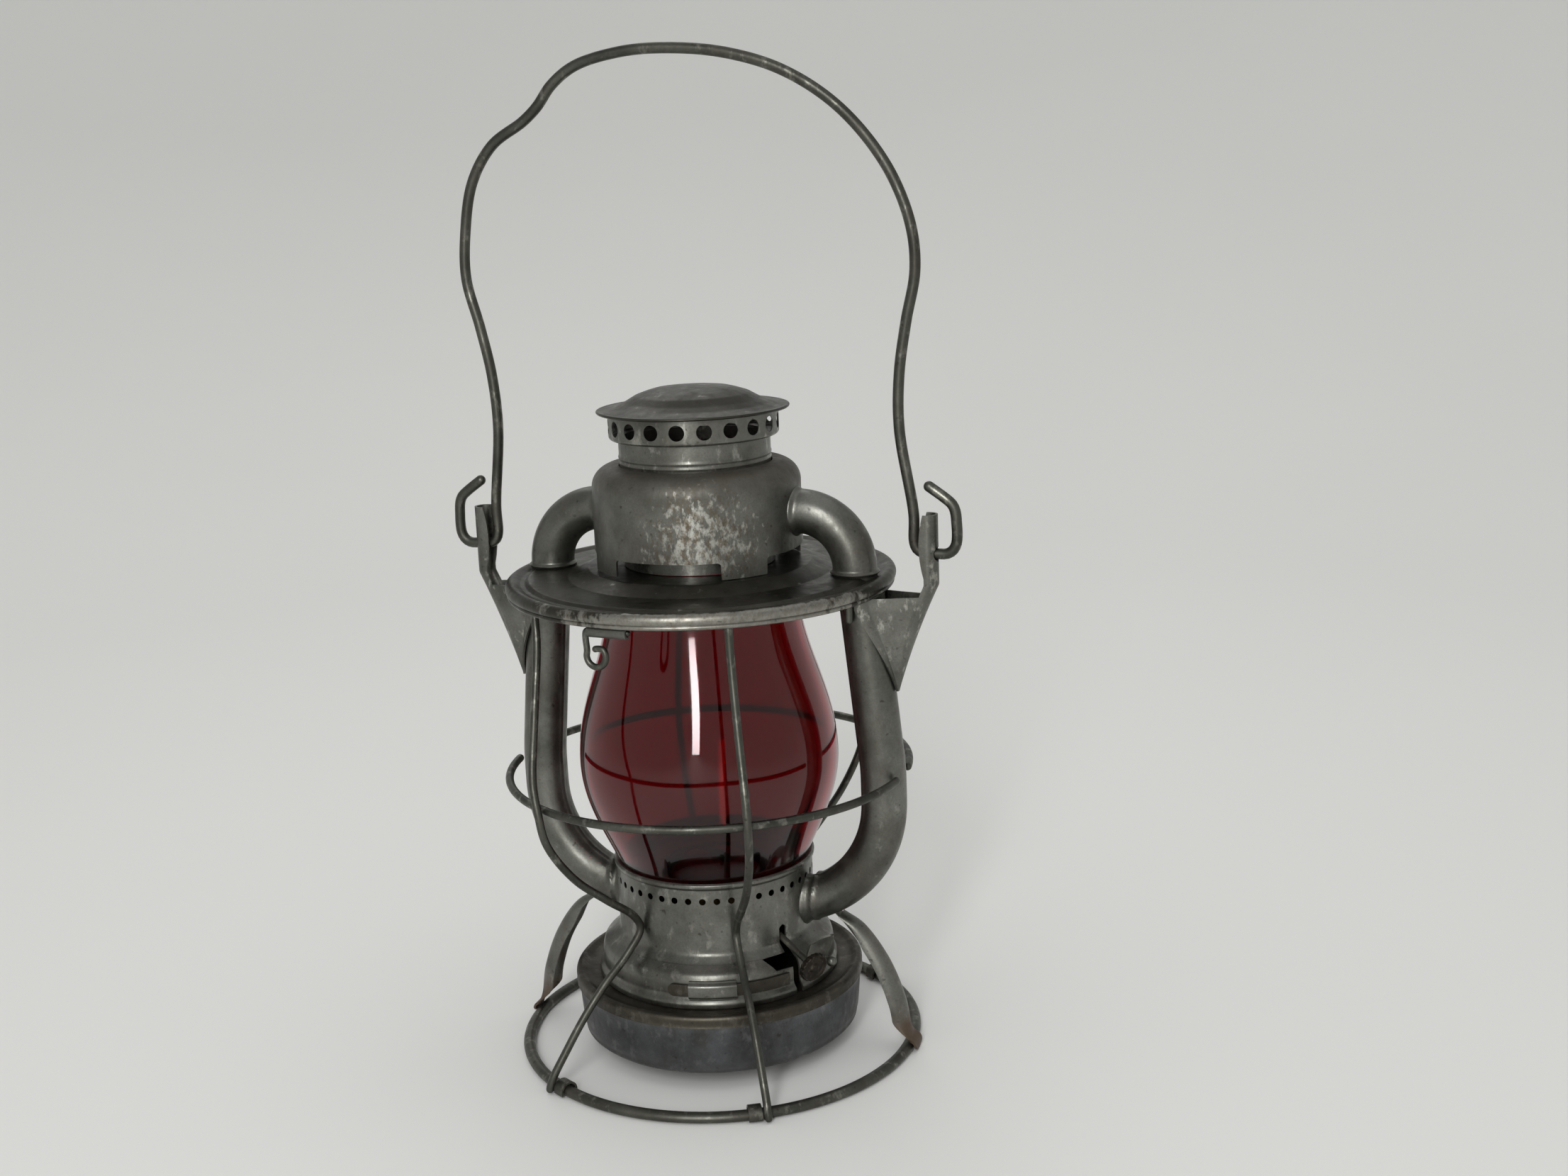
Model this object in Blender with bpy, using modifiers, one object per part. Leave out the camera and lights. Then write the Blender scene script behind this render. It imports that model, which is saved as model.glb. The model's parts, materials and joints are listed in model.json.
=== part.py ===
"""A tubular barn lantern with a wire guard, a hinged crown, a drop-out fount and a wire bail.

Metres, +Z up. The origin is on the floor under the lantern's axis. The side tubes and the bail lie in
the XZ plane, and the front is at -Y. A lantern angle counts in degrees from the front towards +X.
"""

import math

import bmesh
import bpy
import numpy as np
from mathutils import Matrix, Vector

# Clearances and stock
FIT = 0.0003
RUN = 0.0004
SHEET = 0.0008
GUARD_WIRE = 0.0031
HOOP_WIRE = 0.0032
BAIL_WIRE = 0.0042

# Base ring and strap legs
BASE_RING_RADIUS = 0.0786
BASE_WIRE = 0.0047
LEG_WIDTH = 0.0098
LEG_CROWN = 0.0054
LEG_SHEET = 0.0009
FOOT_CLIP = 0.0050

# Fount
FOUNT_LIFT = 0.0066
FOUNT_HEIGHT = 0.0238
FOUNT_RADIUS = 0.0568
FOUNT_TAPER = 0.0012
FOUNT_CORNER = 0.0042
DECK_BEAD = 0.0018
DECK_LIP = 0.0030
FILLER_RADIUS = 0.0142
FILLER_WALL = 0.0027
FILLER_HEIGHT = 0.0056

# Collar
COLLAR_RADIUS = 0.0391
COLLAR_HEIGHT = 0.0473
COLLAR_RIM = 0.0009
RIM_DEPTH = 0.0024
SKIRT_HEIGHT = 0.0173
SKIRT_RADIUS = 0.0465
SKIRT_BAND = 0.0108
SKIRT_BEAD = 0.0018
SKIRT_ROUND = 0.0036
BEAD_HEIGHT = 0.0020
AIR_HOLE = 0.0026
AIR_HOLE_COUNT = 44
AIR_HOLE_DROP = 0.0075
GLOBE_SEAT_DROP = 0.0050
GLOBE_PLATE_HOLE = 0.0220

# Fount latch on the skirt
STRIP_WIDTH = 0.0048
STRIP_SHEET = 0.0009
STRIP_START = -5.0
STRIP_END = 54.5
STRIP_LIFT = 0.0072
BRIDGE_ANGLE = 16.5
BRIDGE_SPAN = 22.0
BRIDGE_LIP = 0.0005
TAB_START = 66.0
TAB_END = 72.5
TAB_OUT = 0.0094
TAB_HEIGHT = 0.0174
STOP_ANGLE = 75.0
STOP_RADIUS = 0.0013
STOP_LENGTH = 0.0060

# Globe
GLOBE_HEIGHT = 0.1135
GLOBE_BELLY = 0.0510
GLOBE_FOOT = 0.0366
GLOBE_MOUTH = 0.0374
GLOBE_BELLY_SHARE = 0.40
GLOBE_SWELL = 1.2
GLOBE_TAPER = 2.5
GLASS = 0.0030

# Side tubes
TUBE_DIAMETER = 0.0172
TUBE_TOP_RADIUS = 0.0645
TUBE_SIDE_RADIUS = 0.0713
TUBE_BEND = 0.0436
TUBE_LOW = 0.0104
TUBE_STRAIGHT = 0.0140
TUBE_DROP = 0.0070

# Wire cage
GUARD_HOOP_OUT = 0.0076
GUARD_HOOP_RISE = 0.0362
TOP_HOOP_INSET = 0.0015
TOP_HOOP_DROP = 0.0064
HOOP_TAIL = 0.0110
COLLAR_TOUCH = 0.0090
# Lantern angles of each guard wire at the top hoop, the guard hoop, the collar and the base ring
GUARD_WIRES = {
    "front_right": (28.0, 29.0, 30.0, 31.0),
    "front_left": (-50.0, -31.0, -27.0, -34.0),
    "back_right": (142.0, 147.0, 150.0, 145.0),
    "back_left": (-151.0, -150.0, -150.0, -145.0),
}

# Crown
CROWN_GAP = 0.0057
PLATE_LIP = 0.0115
PLATE_RISE = 0.0035
PLATE_HOLE = 0.0280
RIM_BEAD = 0.0052
HOOD_RADIUS = 0.0401
HOOD_HEIGHT = 0.0387
HOOD_SHOULDER = 0.0080
SLOT_HEIGHT = 0.0064
SLOT_SPAN = 63.0
CHIMNEY_RADIUS = 0.0292
NECK_HEIGHT = 0.0097
VENT_RADIUS = 0.0326
VENT_HEIGHT = 0.0096
VENT_HOLE = 0.0059
VENT_HOLE_COUNT = 20
CAP_RADIUS = 0.0370
CAP_HEIGHT = 0.0091
ELBOW_DIAMETER = 0.0170
ELBOW_RISE = 0.0200
ELBOW_BEND = 0.0217
ELBOW_INSET = 0.0023
NECK_RADIUS = 0.0068
NECK_DEPTH = 0.0060
GLOBE_RING_DEPTH = 0.0110
GLOBE_RING_PLAY = 0.0018

# Crown hinge and finger hook
HINGE_WIDTH = 0.0140
HINGE_PLAY = 0.0007
HOOK_ANGLE = -8.0
HOOK_WIRE = 0.0024
HOOK_DROP = 0.0135
HOOK_CURL = 0.0040
BRACKET_WIDTH = 0.0160
HOOK_OUT = 0.0082

# Bail and ears
BAIL_LEG = 0.0855
BAIL_HEIGHT = 0.1870
BAIL_WAIST = 0.0815
BAIL_BELLY = 0.0897
BAIL_LEAN = 0.0028
BAIL_HOOK = 0.1023
BAIL_CROOK = 0.0265
PIVOT_RISE = 0.0085
EAR_TOP = 0.0150
EAR_SADDLE = 0.0365
EAR_SPAN = 95.0
EAR_DEPTH = 0.0062
EAR_BULGE = 0.0016

# Burner
WICK_ANGLE = 54.3
WICK_WIDTH = 0.0152
WICK_THICKNESS = 0.0022
WICK_TUBE_WALL = 0.0007
WICK_TUBE_TOP = 0.0710
WICK_TIP = 0.0017
WICK_CLEAR = 0.0060
SPUR_RADIUS = 0.0028
SPUR_THICKNESS = 0.0016
SPUR_SPREAD = 0.0042
SHAFT_RADIUS = 0.0013
SHAFT_SLOPE = 17.0
KNOB_RADIUS = 0.0060
KNOB_THICKNESS = 0.0026
KNOB_REACH = 0.0561
KNOB_HEIGHT = 0.0452
KNOB_RIDGES = 18
BURNER_RADIUS = 0.0175
BURNER_HEIGHT = 0.0276
CONE_HEIGHT = 0.0125
THIMBLE_DEPTH = 0.0090

# Heights and radii that follow from the sizes above
COLLAR_STEPS = AIR_HOLE_COUNT
TURN_STEPS = 32
SMALL_STEPS = 14
deck_top = FOUNT_LIFT + FOUNT_HEIGHT
skirt_bottom = deck_top + FIT
collar_foot = skirt_bottom + SKIRT_HEIGHT
collar_top = skirt_bottom + COLLAR_HEIGHT
strip_low = skirt_bottom + STRIP_LIFT - STRIP_WIDTH / 2
strip_radius = SKIRT_RADIUS + FIT + STRIP_SHEET / 2
globe_bottom = collar_top - GLOBE_SEAT_DROP + FIT
globe_top = globe_bottom + GLOBE_HEIGHT
tube_radius = TUBE_DIAMETER / 2
elbow_radius = ELBOW_DIAMETER / 2
plate_top = globe_top + CROWN_GAP
plate_under = plate_top - SHEET
plate_radius = TUBE_TOP_RADIUS + PLATE_LIP
elbow_foot = TUBE_TOP_RADIUS - ELBOW_INSET
tube_top = plate_top - TUBE_DROP
top_hoop_height = plate_top - TOP_HOOP_DROP
top_hoop_radius = TUBE_TOP_RADIUS - TOP_HOOP_INSET
guard_hoop_height = collar_top + GUARD_HOOP_RISE
guard_hoop_radius = TUBE_SIDE_RADIUS + GUARD_HOOP_OUT
tube_bend_height = collar_foot + TUBE_LOW + TUBE_BEND
hood_bottom = plate_top + PLATE_RISE + FIT
hood_top = hood_bottom + HOOD_HEIGHT
chimney_top = hood_top + NECK_HEIGHT
vent_bottom = chimney_top + FIT
vent_top = vent_bottom + VENT_HEIGHT
cap_bottom = vent_top + FIT
pivot_height = plate_top + PIVOT_RISE
ear_edge = BAIL_LEG + BAIL_WIRE / 2 + RUN
GUTTER_HALF = BAIL_WIRE / 2 + 0.0016
base_height = BASE_WIRE / 2 * math.cos(math.pi / 6)
filler_top = deck_top + FIT + FILLER_HEIGHT
burner_top = filler_top + FIT + BURNER_HEIGHT
shaft_offset = WICK_THICKNESS / 2 + FIT + SPUR_RADIUS

# Finishes: colour, roughness, metallic value
OLD_TIN = ((0.19, 0.19, 0.17), 0.42, 0.9)
SOOTY_TIN = ((0.07, 0.07, 0.058), 0.55, 0.75)
WORN_WIRE = ((0.12, 0.12, 0.105), 0.48, 0.85)
RUBY_GLASS = ((0.30, 0.006, 0.012), 0.06, 0.0)
OLD_BRASS = ((0.30, 0.21, 0.09), 0.4, 0.9)
COTTON = ((0.60, 0.56, 0.46), 0.9, 0.0)

for old in list(bpy.data.objects):
    bpy.data.objects.remove(old, do_unlink=True)
lantern = bpy.data.collections.new("barn_lantern")
cutters = bpy.data.collections.new("cutters")
for group in (lantern, cutters):
    bpy.context.scene.collection.children.link(group)


# Helpers
def finish_material(name, finish):
    colour, roughness, metallic = finish
    material = bpy.data.materials.new(name + "_finish")
    material.use_nodes = True
    shader = material.node_tree.nodes["Principled BSDF"]
    shader.inputs["Base Color"].default_value = (*colour, 1.0)
    shader.inputs["Roughness"].default_value = roughness
    shader.inputs["Metallic"].default_value = metallic
    if finish is RUBY_GLASS:
        shader.inputs["Transmission Weight"].default_value = 1.0
    return material


def add_part(name, data, finish):
    obj = bpy.data.objects.new(name, data)
    lantern.objects.link(obj)
    data.materials.append(finish_material(name, finish))
    return obj


def add_cutter(name, mesh_data):
    obj = bpy.data.objects.new(name, mesh_data)
    obj.hide_render = True
    obj.display_type = 'WIRE'
    cutters.objects.link(obj)
    return obj


def to_mesh(bm, name):
    mesh = bpy.data.meshes.new(name)
    bm.to_mesh(mesh)
    bm.free()
    mesh.shade_smooth()
    mesh.set_sharp_from_angle(angle=math.radians(35))
    return mesh


def polar(angle, radius, height):
    """The point at a lantern angle, a radius and a height."""
    turn = math.radians(angle)
    return Vector((radius * math.sin(turn), -radius * math.cos(turn), height))


def arc(centre, radius, start, end, count):
    """Points on an arc in a profile plane, with angles in degrees from the plane's first axis."""
    turns = np.radians(np.linspace(start, end, count))
    return [(centre[0] + radius * math.cos(t), centre[1] + radius * math.sin(t)) for t in turns]


def smooth(points, count):
    """Points along a smooth curve through the given ones, closer together where it bends."""
    knots = np.array([tuple(p) for p in points], float)
    chord = np.linalg.norm(np.diff(knots, axis=0), axis=1)
    time = np.concatenate([[0.0], np.cumsum(np.sqrt(chord))])
    slope = np.gradient(knots, time, axis=0)
    dense = np.linspace(0.0, time[-1], 600)
    span = np.clip(np.searchsorted(time, dense, side="right") - 1, 0, len(knots) - 2)
    width = np.diff(time)[span]
    u = ((dense - time[span]) / width)[:, None]
    width = width[:, None]
    curve = (
        (1 + 2 * u) * (1 - u) ** 2 * knots[span]
        + u * (1 - u) ** 2 * width * slope[span]
        + u**2 * (3 - 2 * u) * knots[span + 1]
        + u**2 * (u - 1) * width * slope[span + 1]
    )
    step = np.diff(curve, axis=0)
    length = np.linalg.norm(step, axis=1)
    heading = step / np.maximum(length, 1e-12)[:, None]
    bend = np.arccos(np.clip((heading[:-1] * heading[1:]).sum(axis=1), -1.0, 1.0))
    bend = np.concatenate([[0.0], bend])
    weight = length / length.sum() + bend / max(bend.sum(), 1e-9)
    travel = np.concatenate([[0.0], np.cumsum(weight)])
    wanted = np.linspace(0.0, travel[-1], count)
    return [
        Vector([np.interp(w, travel, curve[:, axis]) for axis in range(curve.shape[1])]) for w in wanted
    ]


def wall(outline, thickness):
    """The profile of a sheet of this thickness inside an outline that runs down its outer side."""
    outer = np.array(outline, float)
    run = np.diff(outer, axis=0)
    run /= np.linalg.norm(run, axis=1)[:, None]
    side = np.stack([-run[:, 1], run[:, 0]], axis=1)
    before = np.concatenate([side[:1], side])
    after = np.concatenate([side, side[-1:]])
    normal = before + after
    normal /= (normal * before).sum(axis=1)[:, None]
    inner = outer - thickness * normal
    inner[outer[:, 0] == 0.0, 0] = 0.0
    outer = [tuple(p) for p in outer]
    inner = [tuple(p) for p in inner[::-1]]
    return inner + outer if outer[-1][0] == 0.0 else outer + inner


def turned(name, profile, finish, steps=TURN_STEPS):
    """A profile of (radius, height) points turned round the lantern's axis."""
    ends = [i for i, p in enumerate(profile) if p[0] == 0.0]
    edges = [(i, i + 1) for i in range(len(profile) - 1)]
    if not ends:
        edges.append((len(profile) - 1, 0))
    mesh = bpy.data.meshes.new(name)
    mesh.from_pydata([(r, 0.0, z) for r, z in profile], edges, [])
    obj = add_part(name, mesh, finish)
    screw = obj.modifiers.new("Turn", 'SCREW')
    screw.steps = steps
    screw.render_steps = steps
    screw.use_merge_vertices = True
    screw.merge_threshold = 0.00001
    screw.use_smooth_shade = True
    return obj


def bevelled_curve(name, route, radius, sides, scales, caps):
    curve = bpy.data.curves.new(name, 'CURVE')
    curve.dimensions = '3D'
    curve.bevel_depth = radius
    curve.bevel_resolution = (sides - 4) // 2
    curve.use_fill_caps = caps
    spline = curve.splines.new('POLY')
    spline.points.add(len(route) - 1)
    for point, place, scale in zip(spline.points, route, scales):
        point.co = (*place, 1.0)
        point.radius = scale
    return curve


def wire(name, route, diameter, finish, sides=6):
    """A round wire along a route."""
    curve = bevelled_curve(name, route, diameter / 2, sides, [1.0] * len(route), True)
    return add_part(name, curve, finish)


def tube(name, route, radii, finish, sides=10):
    """A hollow sheet tube along a route, with its outer radius at each point."""
    scales = [r / radii[0] for r in radii]
    guide = bpy.data.objects.new(name + "_guide", bevelled_curve(name, route, radii[0], sides, scales, False))
    lantern.objects.link(guide)
    view = bpy.context.view_layer
    view.update()
    mesh = bpy.data.meshes.new_from_object(guide.evaluated_get(bpy.context.evaluated_depsgraph_get()))
    bpy.data.objects.remove(guide, do_unlink=True)
    mesh.name = name
    mesh.materials.clear()
    bm = bmesh.new()
    bm.from_mesh(mesh)
    bmesh.ops.remove_doubles(bm, verts=bm.verts, dist=0.00001)
    bm.to_mesh(mesh)
    bm.free()
    mesh.shade_smooth()
    obj = add_part(name, mesh, finish)
    solidify(obj, SHEET, -1.0)
    return obj


def solidify(obj, thickness, offset):
    modifier = obj.modifiers.new("Sheet", 'SOLIDIFY')
    modifier.thickness = thickness
    modifier.offset = offset
    modifier.use_even_offset = True
    return modifier


def sheet(name, rows, thickness, finish):
    """A sheet lofted through rows of points in mid-thickness, with None where it is cut away."""
    bm = bmesh.new()
    grid = [[p and bm.verts.new(p) for p in row] for row in rows]
    for low, high in zip(grid, grid[1:]):
        for i in range(len(low) - 1):
            corners = (low[i], low[i + 1], high[i + 1], high[i])
            if all(corners):
                bm.faces.new(corners)
    bmesh.ops.recalc_face_normals(bm, faces=bm.faces)
    obj = add_part(name, to_mesh(bm, name), finish)
    solidify(obj, thickness, 0.0)
    return obj


def add_rod(bm, start, end, radius, sides):
    along = Vector(end) - Vector(start)
    place = Matrix.Translation((Vector(start) + Vector(end)) / 2)
    turn = along.to_track_quat('Z', 'Y').to_matrix().to_4x4() @ Matrix.Rotation(math.pi / sides, 4, 'Z')
    size = {"radius1": radius, "radius2": radius, "depth": along.length}
    bmesh.ops.create_cone(bm, cap_ends=True, segments=sides, matrix=place @ turn, **size)


def rods(name, ends, radius, sides):
    """One mesh of separate round rods, each from a start to an end."""
    bm = bmesh.new()
    for start, end in ends:
        add_rod(bm, start, end, radius, sides)
    return to_mesh(bm, name)


def block(name, centre, size, frame=Matrix()):
    """A box of a size about a centre, turned by a frame."""
    bm = bmesh.new()
    place = Matrix.Translation(centre) @ frame @ Matrix.Diagonal((*size, 1.0))
    bmesh.ops.create_cube(bm, size=1.0, matrix=place)
    return to_mesh(bm, name)


def cut(obj, name, mesh_data, operation='DIFFERENCE'):
    modifier = obj.modifiers.new(name, 'BOOLEAN')
    modifier.operation = operation
    modifier.object = add_cutter(obj.name + "_" + name, mesh_data)


# Base ring: a six-sided section gives it a narrow flat to stand on
def build_base_ring():
    section = [
        (BASE_RING_RADIUS + BASE_WIRE / 2 * math.cos(t), base_height + BASE_WIRE / 2 * math.sin(t))
        for t in (-math.tau * i / 6 for i in range(6))
    ]
    turned("base_ring", section, WORN_WIRE, 36)


# Strap legs: half-round straps from under the side tubes, curled over the base ring
def build_strap_leg(name, side):
    lead = math.radians(62.0)
    under = tube_radius + FIT + LEG_SHEET / 2
    bend_radius = TUBE_SIDE_RADIUS - TUBE_BEND
    top = (
        bend_radius + (TUBE_BEND + under) * math.cos(lead),
        tube_bend_height - (TUBE_BEND + under) * math.sin(lead),
    )
    hug = BASE_WIRE / 2 + 3 * FIT + LEG_SHEET / 2
    curl = arc((BASE_RING_RADIUS, base_height), hug, 68.0, -22.0, 4)
    out = curl[0][0] - top[0]
    drop = top[1] - curl[0][1]
    knots = [
        top,
        (top[0] + 0.30 * out, top[1] - 0.09 * drop),
        (top[0] + 0.66 * out, top[1] - 0.36 * drop),
        (top[0] + 0.90 * out, top[1] - 0.70 * drop),
    ] + curl
    route = smooth(knots, 10)
    rows = []
    for i, here in enumerate(route):
        share = i / (len(route) - 1)
        ahead = route[min(i + 1, len(route) - 1)] - route[max(i - 1, 0)]
        ahead.normalize()
        bow = LEG_CROWN * min(0.15 + 3.0 * share, 1.0) * min(max((0.76 - share) / 0.15, 0.0), 1.0)
        half = LEG_WIDTH / 2 * (0.72 + 0.28 * math.sin(math.pi * min(share / 0.8, 1.0)))
        row = []
        for turn in np.radians((-90.0, -52.0, 0.0, 52.0, 90.0)):
            sink = bow * (1.0 - math.cos(turn))
            reach = half * math.sin(turn)
            row.append((side * (here[0] + ahead[1] * sink), reach, here[1] - ahead[0] * sink))
        rows.append(row)
    sheet(name, rows, LEG_SHEET, OLD_TIN)


# Foot clips: short sheet bands over the base ring, one beside each guard wire's foot
def build_foot_clip(name, angle, side):
    hug = BASE_WIRE / 2 + 2 * FIT + SHEET / 2
    section = arc((BASE_RING_RADIUS, base_height), hug, -20.0, 200.0, 8)
    start = GUARD_WIRE / 2 + FIT
    turns = [angle + side * math.degrees(along / BASE_RING_RADIUS) for along in (start, start + FOOT_CLIP)]
    sheet(name, [[polar(turn, r, z) for r, z in section] for turn in turns], SHEET, WORN_WIRE)


# Collar with its skirt, air holes, keyhole slot and tube openings
def build_collar():
    band_top = skirt_bottom + SKIRT_BAND
    outline = [
        (COLLAR_RADIUS + COLLAR_RIM, collar_top),
        (COLLAR_RADIUS, collar_top - RIM_DEPTH),
        (COLLAR_RADIUS, collar_foot),
        (SKIRT_RADIUS - SKIRT_ROUND, collar_foot - BEAD_HEIGHT),
        (SKIRT_RADIUS, band_top),
        (SKIRT_RADIUS, skirt_bottom + SKIRT_ROUND),
        (SKIRT_RADIUS + SKIRT_BEAD, skirt_bottom + BEAD_HEIGHT),
        (SKIRT_RADIUS + SKIRT_BEAD, skirt_bottom),
    ]
    collar = turned("collar", wall(outline, SHEET), OLD_TIN, COLLAR_STEPS)
    hole_height = collar_top - AIR_HOLE_DROP
    reach = (COLLAR_RADIUS - 3 * SHEET, COLLAR_RADIUS + 2 * SHEET)
    turns = [90.0 + 360.0 / COLLAR_STEPS * (i + 0.5) for i in range(AIR_HOLE_COUNT)]
    ends = [(polar(a, reach[0], hole_height), polar(a, reach[1], hole_height)) for a in turns]
    cut(collar, "air_holes", rods("air_holes", ends, AIR_HOLE / 2, 6))
    entry = collar_foot + TUBE_LOW + 0.0015
    bore = tube_radius - 2 * SHEET
    ends = [((s * (COLLAR_RADIUS - 0.01), 0, entry), (s * (COLLAR_RADIUS + 0.01), 0, entry)) for s in (-1, 1)]
    cut(collar, "tube_openings", rods("tube_openings", ends, bore, 12))
    slot_half = SHAFT_RADIUS + RUN
    slot_head = shaft_point(COLLAR_RADIUS)[2] + 0.0042
    slot_foot = skirt_bottom - 0.01
    start = COLLAR_RADIUS - 0.008
    length = SKIRT_RADIUS + 0.008 - start
    middle = shaft_offset * shaft_across + (start + length / 2) * shaft_out
    centre = Vector((middle.x, middle.y, (slot_head + slot_foot) / 2))
    size = (length, 2 * slot_half, slot_head - slot_foot)
    cut(collar, "keyhole", block("keyhole", centre, size, shaft_plan))
    head = [middle + 0.5 * s * length * shaft_out + Vector((0, 0, slot_head)) for s in (-1, 1)]
    cut(collar, "keyhole_head", rods("keyhole_head", [head], slot_half, 12))
    window = polar(WICK_ANGLE - 3.0, SKIRT_RADIUS - 0.0005, band_top + 0.0016)
    turn = Matrix.Rotation(math.radians(WICK_ANGLE - 93.0), 4, 'Z')
    cut(collar, "twist_window", block("twist_window", window, (0.0080, 0.0110, 0.0030), turn))


# Globe plate: the globe's seat inside the collar
def build_globe_plate():
    top = collar_top - GLOBE_SEAT_DROP
    outer = COLLAR_RADIUS - SHEET - FIT
    outline = [
        (GLOBE_PLATE_HOLE, top),
        (outer, top),
        (outer, top - 0.0022),
    ]
    turned("globe_plate", wall(outline, SHEET), OLD_TIN)


# Fount latch: a strip round the skirt, its bridge, and the leaf-shaped tab and stud beyond its end
def build_fount_latch():
    turns = np.linspace(STRIP_START, STRIP_END, 12)
    heights = (strip_low, strip_low + STRIP_WIDTH)
    rows = [[polar(a, strip_radius, z) for z in heights] for a in turns]
    sheet("latch_strip", rows, STRIP_SHEET, OLD_TIN)
    foot = SKIRT_RADIUS + FIT + SHEET / 2
    hump = strip_radius + STRIP_SHEET / 2 + 2 * FIT + SHEET / 2
    high = strip_low + STRIP_WIDTH
    section = [
        (foot, strip_low - 2 * FIT - BRIDGE_LIP),
        (hump, strip_low - FIT - SHEET / 4),
        (hump, high + FIT + SHEET / 4),
        (foot, high + 2 * FIT + BRIDGE_LIP),
    ]
    turns = np.linspace(-0.5, 0.5, 7) * BRIDGE_SPAN + BRIDGE_ANGLE
    rows = [[polar(a, r, z) for r, z in section] for a in turns]
    sheet("latch_bridge", rows, SHEET, OLD_TIN)
    root = SKIRT_RADIUS + FIT + SHEET / 2
    rows = []
    for rise, left, left_out, right_out in (
        (0.10, 0.00, 0.00, 0.00),
        (0.30, 0.00, 0.00, 0.26),
        (0.54, 0.04, 0.02, 0.62),
        (0.76, 0.20, 0.14, 0.86),
        (0.92, 0.56, 0.52, 0.97),
        (1.00, 0.84, 0.90, 1.00),
    ):
        row = []
        for share in (0.0, 0.35, 0.7, 1.0):
            turn = TAB_START + (TAB_END - TAB_START) * (left + (1.0 - left) * share)
            out = left_out + (right_out - left_out) * share**1.5
            row.append(polar(turn, root + TAB_OUT * out, strip_low + TAB_HEIGHT * rise))
        rows.append(row)
    sheet("latch_tab", rows, SHEET, OLD_TIN)
    middle = strip_low + STRIP_WIDTH
    base = SKIRT_RADIUS + FIT
    end = base + STOP_LENGTH
    bm = bmesh.new()
    add_rod(bm, polar(STOP_ANGLE, base, middle), polar(STOP_ANGLE, end, middle), STOP_RADIUS, 8)
    pin = add_part("latch_stop", to_mesh(bm, "latch_stop"), OLD_TIN)
    bm = bmesh.new()
    place = Matrix.Translation(polar(STOP_ANGLE, end + STOP_RADIUS / 2, middle))
    bmesh.ops.create_uvsphere(bm, u_segments=8, v_segments=6, radius=1.6 * STOP_RADIUS, matrix=place)
    cut(pin, "head", to_mesh(bm, "head"), 'UNION')


# Globe: pear-shaped glass, open at both ends
def globe_radius(share):
    """The outer radius at a share of the globe's height: a full belly below and a longer taper above."""
    if share < GLOBE_BELLY_SHARE:
        rise = share / GLOBE_BELLY_SHARE
        return GLOBE_FOOT + (GLOBE_BELLY - GLOBE_FOOT) * math.sin(math.pi / 2 * rise) ** GLOBE_SWELL
    fall = (share - GLOBE_BELLY_SHARE) / (1.0 - GLOBE_BELLY_SHARE)
    return GLOBE_MOUTH + (GLOBE_BELLY - GLOBE_MOUTH) * (1.0 - fall**2) ** GLOBE_TAPER


def build_globe():
    shares = np.concatenate([[1.0], np.linspace(0.92, 0.10, 7), [0.0]])
    outline = [(globe_radius(s), globe_bottom + s * GLOBE_HEIGHT) for s in shares]
    turned("globe", wall(outline, GLASS), RUBY_GLASS)


# Side tubes: sheet tubes that lean out from the crown and bend in to the collar
def tube_axis(height):
    """The radius of a side tube's axis at a height above its bend."""
    straight = tube_bend_height + TUBE_STRAIGHT
    share = min(max((height - straight) / (tube_top - straight), 0.0), 1.0)
    return TUBE_SIDE_RADIUS + (TUBE_TOP_RADIUS - TUBE_SIDE_RADIUS) * share


def build_side_tube(name, side):
    straight = tube_bend_height + TUBE_STRAIGHT
    path = [(TUBE_TOP_RADIUS, tube_top), (TUBE_SIDE_RADIUS, straight)]
    path += arc((TUBE_SIDE_RADIUS - TUBE_BEND, tube_bend_height), TUBE_BEND, 0.0, -84.0, 6)
    route = [Vector((side * r, 0.0, z)) for r, z in path]
    obj = tube(name, route, [tube_radius] * len(route), OLD_TIN)
    trim = [((0, 0, skirt_bottom), (0, 0, collar_top))]
    cut(obj, "collar_trim", turned_cutter("collar_trim", trim, COLLAR_RADIUS + FIT, COLLAR_STEPS))


def turned_cutter(name, ends, radius, steps):
    """A round cutter whose flats line up with a turned piece of as many steps."""
    mesh = rods(name, ends, radius, steps)
    mesh.transform(Matrix.Rotation(math.pi / steps, 4, 'Z'))
    return mesh


# Hoops: each half ends on the side tubes
def hoop_end(radius, height, diameter):
    """The angle from the X axis at which a hoop's wire meets the face of a side tube."""
    axis = tube_axis(height)
    clear = tube_radius + diameter / 2 + FIT
    return math.degrees(math.acos((radius**2 + axis**2 - clear**2) / (2 * radius * axis)))


def build_guard_hoop(name, facing):
    end = 90.0 - hoop_end(guard_hoop_radius, guard_hoop_height, HOOP_WIRE)
    turns = np.linspace(-end, end, 15)
    route = [facing * polar(a, guard_hoop_radius, 0) + Vector((0, 0, guard_hoop_height)) for a in turns]
    wire(name, route, HOOP_WIRE, WORN_WIRE)


def build_top_hoop(name, facing):
    end = 90.0 - hoop_end(top_hoop_radius, top_hoop_height, HOOP_WIRE)
    turns = np.linspace(-end, end, 15)
    route = [polar(a, top_hoop_radius, top_hoop_height) for a in turns]
    corner = Vector((0, 0, HOOP_WIRE * 0.3))
    tail = Vector((0, 0, HOOP_TAIL))
    route = [route[0] - tail, route[0] - corner] + route[1:-1] + [route[-1] - corner, route[-1] - tail]
    wire(name, [Vector((p.x, facing * p.y, p.z)) for p in route], HOOP_WIRE, WORN_WIRE)


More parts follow.
